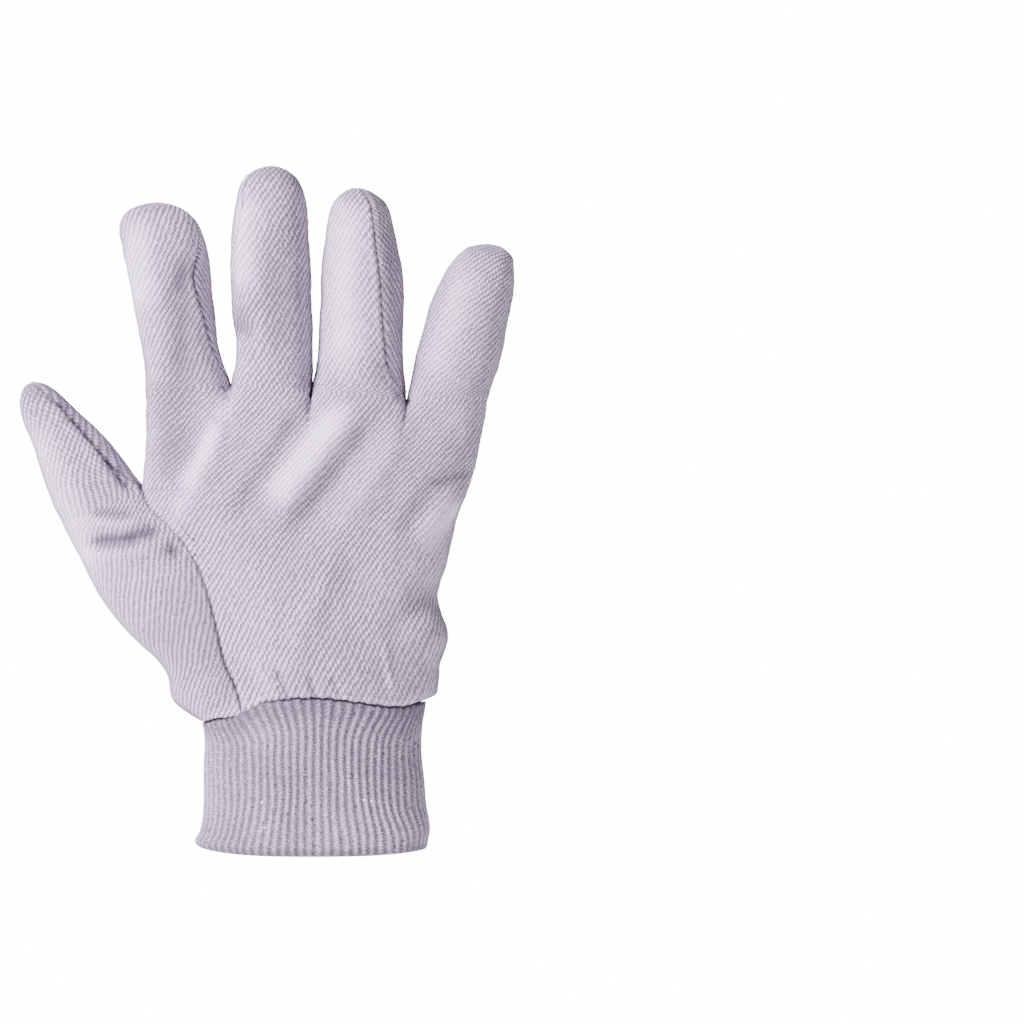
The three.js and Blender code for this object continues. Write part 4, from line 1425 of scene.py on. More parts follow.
    def fold(self, net: Net) -> None:
        """Presses the folds, waves, small creases and gathers into the net, and notes its painted light
        and shade.

        Args:
            net: The net.
        """
        places = net.places()
        normals = net.normals()
        front = ease(self.facing_start - normals[:, 1] * self.facing_gain)
        back = ease(self.facing_start + normals[:, 1] * self.facing_gain)
        lift = self.folds_at(places, FRONT_FOLDS) * front + self.folds_at(places, BACK_FOLDS) * back
        lift *= self.fold_scale
        # painted light on the ridges of the folds and on the listed bands, painted shade in the hollows
        nap = self.folds_at(places, FRONT_PAINTED_LIGHT) * front + self.folds_at(places, BACK_PAINTED_LIGHT) * back
        nap += np.clip(lift, -self.nap_most, self.nap_most) * self.nap_share
        for vertex, value in zip(net.mesh.verts, nap):
            vertex[net.nap] = value
        lift += self.ripples(places, self.wave_height, self.wave_length, (0, 0, 0))
        lift += self.ripples(places, self.crease_height, self.crease_length, self.crease_shift)
        lift += self.gathers(places)
        net.move(places + normals * lift[:, None])

    def folds_at(self, places: np.ndarray, folds: list[SimpleNamespace]) -> np.ndarray:
        """Finds how far the folds of one table lift the cloth.

        Args:
            places: Places on the cloth.
            folds: The table.

        Returns:
            The lift at each place.
        """
        lift = np.zeros(len(places))
        for fold in folds:
            start = np.array([fold.x, fold.z])
            run = np.array([fold.to_x, fold.to_z]) - start
            length = float(np.hypot(*run))
            away = places[:, [0, 2]] - start
            along = away @ run / length ** 2
            off = (away[:, 0] * run[1] - away[:, 1] * run[0]) / length
            begun = ease((along + self.fold_past) / self.fold_fade)
            left = ease((1 + self.fold_past - along) / self.fold_fade)
            lift += fold.rise * np.exp(-((off / fold.wide) ** 2)) * (begun * left)
        return lift

    def ripples(self, places: np.ndarray, height: float, length: float, shift: Triple) -> np.ndarray:
        """Finds how far uneven ripples lift the cloth.

        Args:
            places: Places on the cloth.
            height: The height of the ripples.
            length: Their length.
            shift: What sets their pattern apart from that of other ripples.

        Returns:
            The lift at each place.
        """
        return height * np.array([noise.noise(Vector(place) / length + Vector(shift)) for place in places])

    def gathers(self, places: np.ndarray) -> np.ndarray:
        """Finds how far the upright gathers over the cuff seam lift the cloth.

        Args:
            places: Places on the cloth.

        Returns:
            The lift at each place.
        """
        over_seam = self.shape.over_seam(places)
        around = np.arctan2(places[:, 1], places[:, 0]) * self.shape.cuff_width / 2
        near_cuff = np.exp(-((over_seam / self.gather_reach) ** 2))
        lift = np.zeros(len(places))
        for i in np.nonzero(near_cuff > self.gather_least)[0]:
            at = Vector((around[i] / self.gather_length, over_seam[i] / self.gather_rise, 0))
            lift[i] = self.gather_height * near_cuff[i] * noise.noise(at)
        return lift

    def cut(self, net: Net) -> dict[Panel, bpy.types.Object]:
        """Cuts the net into its panels, with their edges turned in at the seams.

        Args:
            net: The net, which is used up.

        Returns:
            The object of each panel.
        """
        net.mesh.normal_update()
        out = net.mesh.verts.layers.float_vector.new("out")
        for vertex in net.mesh.verts:
            vertex[out] = vertex.normal
        whole = bpy.data.meshes.new("body")
        net.mesh.to_mesh(whole)
        net.mesh.free()
        made = {}
        for number, panel in enumerate(PANELS):
            piece = bmesh.new()
            piece.from_mesh(whole)
            layer = piece.faces.layers.int["panel"]
            others = [face for face in piece.faces if face[layer] != number]
            bmesh.ops.delete(piece, geom=others, context="FACES")
            self.tuck(piece)
            self.close_tips(piece)
            self.thicken(piece)
            self.calm(piece)
            made[panel] = self.finish_piece(piece, panel)
        bpy.data.meshes.remove(whole)
        return made

    def marks(self, place: Vector) -> tuple[float, float]:
        """How deep the nearest seam is, and how much painted shade darkens it.

        Args:
            place: A place on the cloth.

        Returns:
            The share of the tuck and the share of the painted shade.
        """
        if place.z - float(self.shape.cuff_seam_height(place.x, place.y)) < self.cuff_edge:
            return self.cuff_mark
        rows = self.front_marks if place.y < self.side_split else self.back_marks
        away = np.hypot(rows[:, 0] - place.x, rows[:, 1] - place.z)
        weights = 1 / (away + self.mark_reach) ** self.mark_power
        deep, dark = (weights @ rows[:, 2:]) / weights.sum()
        return float(deep), float(dark)

    def rim_tree(self, piece: bmesh.types.BMesh) -> kdtree.KDTree:
        """Collects places along the edge of a piece.

        Args:
            piece: The piece.

        Returns:
            A tree that finds the nearest of them.
        """
        rim = [edge for edge in piece.edges if edge.is_boundary]
        tree = kdtree.KDTree(len(rim) * self.rim_parts)
        for i, edge in enumerate(rim):
            for j in range(self.rim_parts):
                place = edge.verts[0].co.lerp(edge.verts[1].co, j / self.rim_parts)
                tree.insert(place, i * self.rim_parts + j)
        tree.balance()
        return tree

    def tuck(self, piece: bmesh.types.BMesh) -> None:
        """Turns the edges of a piece inwards, with small puckers along them, and notes the painted shade
        of the seams and the painted highlight on the lips beside them.

        Args:
            piece: The piece, without its wall.
        """
        out = piece.verts.layers.float_vector["out"]
        seam = piece.verts.layers.float["seam"]
        nap = piece.verts.layers.float["nap"]
        tree = self.rim_tree(piece)
        for vertex in piece.verts:
            _, _, away = tree.find(vertex.co)
            if away > self.tuck_reach * self.mark_limit:
                continue
            deep, dark = self.marks(vertex.co)
            pucker = noise.noise(vertex.co / self.pucker_length)
            # painted shade along the seam line
            vertex[seam] = dark * math.exp(-((away / self.line_reach) ** 2))
            if away < self.tuck_reach:
                bend = 1 - away / self.tuck_reach
                sink = self.tuck_depth * deep * (1 + self.pucker_share * pucker)
                vertex.co -= vertex[out] * (sink * (1 - math.sqrt(1 - bend * bend)))
            lip = math.exp(-(((away - self.lip_place) / self.lip_reach) ** 2))
            vertex.co += vertex[out] * lip * (self.lip_height + self.pucker_height * pucker)
            # painted highlight on the lip
            vertex[nap] += self.lip_nap * lip * max(dark, self.lip_least)

    def close_tips(self, piece: bmesh.types.BMesh) -> None:
        """Sets the points at which many edges meet, at the tips, among their neighbours.

        Args:
            piece: The piece, without its wall.
        """
        out = piece.verts.layers.float_vector["out"]
        for vertex in piece.verts:
            if len(vertex.link_edges) > self.tip_edges:
                ends = [edge.other_vert(vertex) for edge in vertex.link_edges if edge.is_boundary]
                ends = ends or [edge.other_vert(vertex) for edge in vertex.link_edges]
                vertex.co = sum((end.co for end in ends), Vector()) / len(ends)
                vertex[out] = sum((end[out] for end in ends), Vector()).normalized()

    def thicken(self, piece: bmesh.types.BMesh) -> None:
        """Gives a piece its wall, inwards along the directions of the whole body.

        Args:
            piece: The piece.
        """
        out = piece.verts.layers.float_vector["out"]
        made = bmesh.ops.extrude_face_region(piece, geom=list(piece.faces), use_keep_orig=True)["geom"]
        inner = {item for item in made if isinstance(item, bmesh.types.BMVert)}
        for vertex in inner:
            vertex.co -= vertex[out] * self.wall
        within = [face for face in piece.faces if all(vertex in inner for vertex in face.verts)]
        bmesh.ops.reverse_faces(piece, faces=within)
        bmesh.ops.recalc_face_normals(piece, faces=piece.faces)

    def calm(self, piece: bmesh.types.BMesh) -> None:
        """Draws points that stand out of their surroundings back among them.

        Args:
            piece: The piece, with its wall.
        """
        for vertex in piece.verts:
            ends = [edge.other_vert(vertex).co for edge in vertex.link_edges]
            middle = sum(ends, Vector()) / len(ends)
            if (vertex.co - middle).length > self.most_peak:
                vertex.co = middle

    def finish_piece(self, piece: bmesh.types.BMesh, panel: Panel) -> bpy.types.Object:
        """Makes an object of a piece.

        Args:
            piece: The piece, which is used up.
            panel: The panel that it is.

        Returns:
            The object.
        """
        name, node = panel.value
        obj = as_object(piece, name)
        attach(obj, "root")
        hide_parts(node)
        return obj


@dataclass
class Cuff:
    """The ribbed knit cuff: a doubled tube, folded at the hem and drawn in at the seam."""

    shape: HandShape
    ribs: int = 70
    steps: int = 8
    rows: int = 74
    inner_rows: int = 16
    hem_rows: int = 7
    thickness: float = 2.4
    relief: float = 0.6
    inner_relief: float = 0.4
    inner_top: float = 0.985
    inner_bend: tuple[float, float] = (0.8, 0.2)
    fan: float = 4.8
    fan_reach: float = 0.26
    flare: float = 2.6
    flare_left: float = 0.5
    flare_reach: float = 0.4
    sway: float = 0.9
    sway_round: float = 3
    sway_up: float = 3.4
    girth_steps: int = 2880
    seam_gap: float = 0.06
    turn_in: float = 0.8
    turn_share: float = 0.6
    left_lift: float = 2.0
    right_lift: float = 1.3
    lift_power: float = 3
    allowance: float = 3.2
    allowance_drop: float = 2.6
    allowance_wall: float = 0.9
    merge_distance: float = 0.01

    def __post_init__(self) -> None:
        """Keeps the outline, and how the length round the cuff's middle grows with the angle."""
        self.outline = curves(CUFF_ROWS)
        self.angles = np.linspace(0, 2 * np.pi, self.girth_steps + 1)
        x = float(self.outline.right(0.5)) * power(np.sin(self.angles), self.shape.oval_power)
        y = float(self.outline.deep(0.5)) * power(np.cos(self.angles), self.shape.oval_power)
        run = running(np.hypot(np.diff(x), np.diff(y)))
        self.girth = run[-1]
        self.run = run / self.girth

    def build(self) -> bpy.types.Object:
        """Builds the cuff as a closed tube.

        Returns:
            The cuff's object.
        """
        levels = self.levels()
        columns = self.ribs * self.steps
        mesh = bmesh.new()
        uv = mesh.loops.layers.uv.new("pattern")
        made = bmesh.ops.create_grid(mesh, x_segments=columns, y_segments=len(levels) - 1, size=1)
        places = grid_places(made["verts"], len(levels) - 1, columns)
        for face in mesh.faces:
            for loop in face.loops:
                row, column = places[loop.vert]
                up = levels[row][0] * self.shape.cuff_height
                loop[uv].uv = (column / self.steps, up * UV_SCALE)
        turns = np.arange(columns + 1) / columns
        rows = [self.row_points(level, turns) for level in levels]
        for vertex, (row, column) in places.items():
            vertex.co = rows[row][column % columns]
        bmesh.ops.remove_doubles(mesh, verts=mesh.verts, dist=self.merge_distance)
        bmesh.ops.recalc_face_normals(mesh, faces=mesh.faces)
        obj = as_object(mesh, "cuff_knit")
        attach(obj, "root")
        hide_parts("knit_cuff")
        return obj

    def levels(self) -> list[tuple[float, float, float]]:
        """Lists the rings of the tube: up its outside, over the allowance, down inside to the hem.

        Returns:
            Each ring's share of the height, drop below the outline and share of the ribs.
        """
        rings = []
        radius = self.thickness / 2
        hem = radius / self.shape.cuff_height
        for i in range(self.rows + 1):
            at = i / self.rows
            edge = max(0.0, 1 - (1 - at) * self.shape.cuff_height / self.turn_in)
            drop = self.turn_in * self.turn_share * (1 - math.sqrt(1 - edge * edge))
            rings.append((mix(hem, 1, at), drop, 1))
        over = 1 + self.allowance / self.shape.cuff_height
        inside = self.allowance_drop + self.allowance_wall
        rings.append((1, self.allowance_drop, self.inner_relief))
        rings += [(over, self.allowance_drop, 0), (over, inside, 0)]
        bend_from, bend_over = self.inner_bend
        for i in range(self.inner_rows + 1):
            at = 1 - i / self.inner_rows
            drop = mix(self.thickness, inside, float(ease((at - bend_from) / bend_over)))
            rings.append((mix(hem, self.inner_top, at), drop, self.inner_relief))
        for i in range(1, self.hem_rows + 1):
            share = i / (self.hem_rows + 1)
            angle = math.pi * share
            drop = radius + radius * math.cos(angle)
            rings.append((hem * (1 - math.sin(angle)), drop, mix(self.inner_relief, 1, share)))
        rings.append(rings[0])
        return rings

    def row_points(self, level: tuple[float, float, float], turns: np.ndarray) -> np.ndarray:
        """The points of one ring.

        Args:
            level: Share of the height, drop below the outline and share of the ribs.
            turns: Shares of the way round, from the front.

        Returns:
            An array of points.
        """
        at, drop, ribbed = level
        quarter = np.sin(4 * np.pi * turns)
        top = float(ease(1 - (1 - at) / self.fan_reach)) * self.fan
        right = np.where(np.sin(2 * np.pi * turns) > 0, 1.0, self.flare_left)
        low = float(ease(1 - at / self.flare_reach)) * self.flare * right
        way_round = turns * 2 * math.pi
        circle = np.stack([np.cos(way_round), np.sin(way_round)], axis=-1) * self.sway_round
        sway = np.array([noise.noise(Vector((*place, at * self.sway_up))) for place in circle])
        turned = turns + (quarter * (top + low) + sway * self.sway) / self.girth
        around = np.interp(turned % 1, self.run, self.angles)
        x_share = power(np.sin(around), self.shape.oval_power)
        y_share = power(np.cos(around), self.shape.oval_power)
        wide = np.where(x_share > 0, float(self.outline.right(at)), float(self.outline.left(at)))
        deep = float(self.outline.deep(at))
        bump = turns * self.ribs - np.round(turns * self.ribs)
        rib = 0.5 + 0.5 * np.cos(2 * np.pi * bump)
        sink = drop + self.relief * ribbed * (1 - rib)
        outward = np.stack([x_share / wide, -y_share / deep], axis=-1)
        outward /= np.linalg.norm(outward, axis=1)[:, None]
        x = wide * x_share - outward[:, 0] * sink
        y = -deep * y_share - outward[:, 1] * sink
        z = (self.shape.cuff_seam_height(x, y) - self.seam_gap) * at
        lift = np.where(x_share > 0, self.right_lift, self.left_lift)
        z = z + lift * np.abs(x_share) ** self.lift_power * max(1 - at, 0)
        return np.stack([x, y, z], axis=-1)


@dataclass
class Stitches:
    """Short stitches of thread at the ends of the seams, on the palm's side."""

    cloth: dict[Panel, bpy.types.Object]
    radius: float = 0.24
    sides: int = 8
    steps: int = 6
    arch: float = 0.25
    sunk: float = 0.15
    taper: float = 1.9
    thinnest: float = 0.05
    front_limit: float = 0.3
    nearest: int = 8

    def __post_init__(self) -> None:
        """Collects the points of the cloth that face the palm's side, by their x and z."""
        self.points = [
            vertex.co / MM
            for obj in self.cloth.values()
            for vertex in obj.data.vertices
            if vertex.normal.y < self.front_limit
        ]
        self.tree = kdtree.KDTree(len(self.points))
        for i, point in enumerate(self.points):
            self.tree.insert(Vector((point.x, 0, point.z)), i)
        self.tree.balance()

    def build(self) -> bpy.types.Object:
        """Builds the stitches as one piece, each laid on the cloth under it.

        Returns:
            The object of the stitches.
        """
        mesh = bmesh.new()
        for row in STITCHES:
            self.add(mesh, row)
        bmesh.ops.recalc_face_normals(mesh, faces=mesh.faces)
        obj = as_object(mesh, "seam_end_stitches")
        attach(obj, "root")
        return obj

    def depth_at(self, x: float, z: float) -> float:
        """The foremost y of the cloth near a place."""
        found = self.tree.find_n(Vector((x, 0, z)), self.nearest)
        return min(self.points[index].y for _, index, _ in found)

    def add(self, mesh: bmesh.types.BMesh, row: SimpleNamespace) -> None:
        """Adds one stitch, a thread that rises out of the cloth and dives into it again.

        Args:
            mesh: The mesh that it is added to.
            row: The stitch's place, tilt and length.
        """
        tilt = math.radians(row.tilt)
        way = Vector((math.cos(tilt), 0, math.sin(tilt)))
        beside = Vector((-math.sin(tilt), 0, math.cos(tilt)))
        rings = []
        for i in range(self.steps + 1):
            share = i / self.steps - 0.5
            spot = Vector((row.x, 0, row.z)) + way * row.long * share
            lift = self.arch * (1 - (2 * share) ** 2) - self.sunk
            spot.y = self.depth_at(spot.x, spot.z) - lift
            thick = self.radius * math.sqrt(max(1 - (self.taper * share) ** 2, self.thinnest))
            frame = Matrix((Vector((0, 1, 0)), beside, way)).transposed().to_4x4()
            made = bmesh.ops.create_circle(
                mesh, cap_ends=i in (0, self.steps), segments=self.sides, radius=thick,
                matrix=Matrix.Translation(spot) @ frame,
            )
            rings.append(list({edge for vertex in made["verts"] for edge in vertex.link_edges}))
        for low, high in zip(rings, rings[1:]):
            bmesh.ops.bridge_loops(mesh, edges=low + high)


# How dull cotton takes the light, for the cloth and the knit
COTTON_SHEEN = {
    "Roughness": 0.95,
    "Specular IOR Level": 0.15,
    "Sheen Weight": 0.12,
    "Sheen Roughness": 0.6,
}


@dataclass(frozen=True)
class Specks:
    """Small specks: how crowded they are, their size and strength, and where they are left out."""

    crowd: float
    core: float
    edge: float
    strength: float
    spread: float
    detail: float
    bare: float
    full: float


class Nodes:
    """A short way to add shader nodes and links to one material."""

    def __init__(self, name: str) -> None:
        """Starts a material with only its output and its shader.

        Args:
            name: The material's name.
        """
        self.material = bpy.data.materials.new(name)
        self.material.use_nodes = True
        self.tree = self.material.node_tree
        self.shader = next(node for node in self.tree.nodes if node.type == "BSDF_PRINCIPLED")

    def add(self, kind: str, settings: dict | None = None, **inputs: Socketed) -> bpy.types.Node:
        """Adds a node.

        Args:
            kind: The node's type.
            settings: Its properties.
            inputs: Its sockets by name with _ for a blank, or by in0, in1 and so on.

        Returns:
            The node.
        """
        node = self.tree.nodes.new(kind)
        for name, value in (settings or {}).items():
            setattr(node, name, value)
        for name, value in inputs.items():
            key = int(name[2:]) if name.startswith("in") and name[2:].isdigit() else name.replace("_", " ")
            self.put(node.inputs[key], value)
        return node

    def put(self, socket: bpy.types.NodeSocket, value: Socketed) -> None:
        """Links a socket to another node's, or sets its value.

        Args:
            socket: The socket.
            value: The other socket or the value.
        """
        if isinstance(value, bpy.types.NodeSocket):
            self.tree.links.new(value, socket)
        else:
            socket.default_value = value

    def maths(self, operation: str, first: Socketed, second: Socketed = 0.0,
              third: Socketed = 0.0) -> bpy.types.NodeSocket:
        """Adds a Math node and gives its result."""
        node = self.add("ShaderNodeMath", {"operation": operation}, in0=first, in1=second, in2=third)
        return node.outputs[0]

    def plus(self, value: Socketed, share: Socketed, base: Socketed) -> bpy.types.NodeSocket:
        """A base with a share of a value on top."""
        return self.maths("MULTIPLY_ADD", value, share, base)

    def minus(self, first: Socketed, second: Socketed) -> bpy.types.NodeSocket:
        """The first value less the second."""
        return self.maths("SUBTRACT", first, second)

    def blend(self, share: Socketed, low: Socketed, high: Socketed) -> bpy.types.NodeSocket:
        """Mixes two colours.

        Args:
            share: The share of the second.
            low: The first colour.
            high: The second colour.

        Returns:
            The mixed colour.
        """
        node = self.tree.nodes.new("ShaderNodeMix")
        node.data_type = "RGBA"
        sockets = [socket for socket in node.inputs if socket.enabled]
        for socket, value in zip(sockets, (share, low, high), strict=True):
            self.put(socket, value)
        return next(socket for socket in node.outputs if socket.enabled)

    def attribute(self, name: str) -> bpy.types.NodeSocket:
        """The value that a piece's points carry under a name."""
        return self.add("ShaderNodeAttribute", {"attribute_name": name}).outputs["Fac"]

    def pattern_place(self) -> bpy.types.NodeSocket:
        """The place in the pattern of the cloth."""
        return self.add("ShaderNodeUVMap", {"uv_map": "pattern"}).outputs[0]

    def object_place(self) -> bpy.types.NodeSocket:
        """The place in the piece, in metres."""
        return self.add("ShaderNodeTexCoord").outputs["Object"]

    def rim(self, most: float, turned_from: float = 0.45, turned_to: float = 0.95) -> bpy.types.NodeSocket:
        """How much painted shade darkens a face as it turns away from the view, up to a share of most at
        its edge.
        """
        turned = self.add("ShaderNodeLayerWeight", None, Blend=0.5).outputs["Facing"]
        return self.ranged(turned, turned_from, turned_to, 0, most)

    def noise(self, vector: Socketed, scale: float, detail: float = 2,
              rough: float = 0.5) -> bpy.types.NodeSocket:
        """Adds a noise texture and gives its value."""
        settings = dict(Vector=vector, Scale=scale, Detail=detail, Roughness=rough)
        return self.add("ShaderNodeTexNoise", None, **settings).outputs[0]

    def ranged(self, value: Socketed, low: float, high: float, to_low: float,
               to_high: float) -> bpy.types.NodeSocket:
        """Adds a smooth Map Range node.

        Args:
            value: The value that it reads.
            low: Where its range starts.
            high: Where its range ends.
            to_low: What it gives at the start.
            to_high: What it gives at the end.

        Returns:
            Its result.
        """
        node = self.add(
            "ShaderNodeMapRange", {"interpolation_type": "SMOOTHSTEP"},
            in0=value, in1=low, in2=high, in3=to_low, in4=to_high,
        )
        return node.outputs[0]

    def specks(self, vector: Socketed, specks: Specks) -> bpy.types.NodeSocket:
        """Scatters small round specks.

        Args:
            vector: The place that they follow.
            specks: How they lie.

        Returns:
            Their strength at each place.
        """
        cells = self.add("ShaderNodeTexVoronoi", None, Vector=vector, Scale=specks.crowd)
        speck = self.ranged(cells.outputs["Distance"], specks.core, specks.edge, specks.strength, 0)
        spread = self.noise(vector, specks.spread, specks.detail)
        return self.maths("MULTIPLY", speck, self.ranged(spread, specks.bare, specks.full, 0, 1))

    def cotton(self, colour: Socketed, height: Socketed, relief: float) -> bpy.types.Material:
        """Finishes the material as dull cotton with the soft sheen of its fuzz.

        Args:
            colour: Its colour.
            height: The pattern of its relief.
            relief: The height of the relief, in millimetres.

        Returns:
            The material.
        """
        bump = self.add("ShaderNodeBump", None, Height=height, Distance=relief * MM, Strength=1.0)
        self.put(self.shader.inputs["Base Color"], colour)
        self.put(self.shader.inputs["Normal"], bump.outputs[0])
        for name, value in COTTON_SHEEN.items():
            self.put(self.shader.inputs[name], value)
        return self.material


def linear(colour: Triple) -> tuple[float, float, float, float]:
    """Turns a colour of 0 to 255 into the linear colour of a socket.

    Args:
        colour: Its red, green and blue.

    Returns:
        The linear colour, with its alpha.
    """
    def part(value: float) -> float:
        """One channel."""
        share = value / 255
        return share / 12.92 if share <= 0.04045 else ((share + 0.055) / 1.055) ** 2.4

    return (*(part(value) for value in colour), 1.0)


@dataclass(frozen=True)
class TwillFinish:
    """Napped cotton twill: diagonal cords of short slanting floats, soft fuzz and a few neps, with painted
    light and shade over its folds, seams and outline.
    """

    name: str
    angle: float = 55
    pitch: float = 1.8
    float_length: float = 1.35
    float_step: float = 0.43
    float_jitter: float = 1.1
    float_slant: float = -0.3
    float_ends: float = -1.8
    relief: float = 0.5
    sway_noise: tuple[float, float] = (38, 2)
    yarn_noise: Triple = (520, 2, 0.6)
    fibre_noise: Triple = (1700, 3, 0.7)
    worn_noise: tuple[float, float] = (50, 3)
    patch_noise: tuple[float, float] = (26, 3)
    sway: float = 2.4
    yarn_jitter: float = 0.8
    fibre_jitter: float = 0.6
    worn: tuple[float, float, float, float] = (0.38, 0.66, 0.7, 1)
    # how much the cords wear flatter where painted light lightens the cloth
    nap_wear: float = 0.35
    middle: float = 0.45
    fibre_height: float = 0.9
    fibre_shade: float = 1.6
    patch_shade: float = 0.35
    # how strongly the painted light and shade of the points change the colour
    nap_shade: float = 0.55
    shades: tuple[float, float] = (0.93, 2.2)
    high: Triple = (242, 230, 252)
    low: Triple = (122, 114, 128)
    # the colour of the neps, and of the painted shade along the seams
    nep: Triple = (66, 58, 74)
    # the colour and the most of the painted shade towards the outline, where faces turn away from the view
    edge: Triple = (104, 95, 112)
    rim: float = 0.75
    neps: Specks = Specks(70, 0.02, 0.036, 0.85, 47, 1, 0.56, 0.58)

    def build(self) -> bpy.types.Material:
        """Builds the material.

        Returns:
            The material.
        """
        make = Nodes(self.name)
        place = make.object_place()
        yarn = make.noise(place, *self.yarn_noise)
        fibre = make.noise(place, *self.fibre_noise)
        # painted light and shade of the points; where it lightens, the cords also wear flatter
        nap = make.attribute("nap")
        weave = self.weave(make, place, yarn, fibre)
        worn = make.ranged(make.noise(place, *self.worn_noise), *self.worn)
        worn = make.minus(worn, make.maths("MULTIPLY", make.maths("MAXIMUM", nap, 0.0), self.nap_wear))
        pressed = make.plus(make.minus(weave, self.middle), worn, self.middle)
        height = make.plus(fibre, self.fibre_height, pressed)
        shade = make.plus(fibre, self.fibre_shade, pressed)
        shade = make.plus(make.noise(place, *self.patch_noise), self.patch_shade, shade)
        # painted light on ridges and bands, painted shade in hollows
        shade = make.plus(nap, self.nap_shade, shade)
        colour = make.blend(make.ranged(shade, *self.shades, 0, 1), linear(self.low), linear(self.high))
        colour = make.blend(make.specks(place, self.neps), colour, linear(self.nep))
        # painted shade along the seam lines, in the colour of the neps
        seam = make.maths("MAXIMUM", make.attribute("seam"), 0.0)
        colour = make.blend(seam, colour, linear(self.nep))
        # painted shade towards the outline, where faces turn away from the view
        colour = make.blend(make.rim(self.rim), colour, linear(self.edge))
        return make.cotton(colour, height, self.relief)

    def weave(self, make: Nodes, place: bpy.types.NodeSocket, yarn: bpy.types.NodeSocket,
              fibre: bpy.types.NodeSocket) -> bpy.types.NodeSocket:
        """Draws the diagonal cords and the slanting floats in them.

        Args:
            make: The material's nodes.
            place: The place in the piece.
            yarn: The unevenness of the yarn.
            fibre: The finer one of its fibres.

        Returns:
            How high the weave stands, from 0 to 1.
        """
        turn = (0, 0, -math.radians(self.angle))
        turned = make.add("ShaderNodeMapping", None, Vector=make.pattern_place(), Rotation=turn)
        parts = make.add("ShaderNodeSeparateXYZ", None, Vector=turned.outputs[0])
        cords = make.maths("DIVIDE", parts.outputs[1], self.pitch * UV_SCALE)
        cords = make.plus(make.noise(place, *self.sway_noise), self.sway, cords)
        cords = make.plus(yarn, self.yarn_jitter, cords)
        cords = make.plus(fibre, self.fibre_jitter, cords)
        number = make.maths("FLOOR", cords)
        off = make.minus(make.minus(cords, number), 0.5)
        floats = make.maths("DIVIDE", parts.outputs[0], self.float_length * UV_SCALE)
        floats = make.plus(number, self.float_step, floats)
        floats = make.plus(yarn, self.float_jitter, floats)
        step = make.minus(make.maths("FRACT", floats), 0.5)
        slant = make.plus(step, self.float_slant, off)
        wave = make.maths("COSINE", make.maths("MULTIPLY", slant, 2 * math.pi))
        wave = make.plus(wave, 0.5, 0.5)
        ends = make.plus(make.maths("MULTIPLY", step, step), self.float_ends, 1.0)
        return make.maths("MULTIPLY", wave, ends)


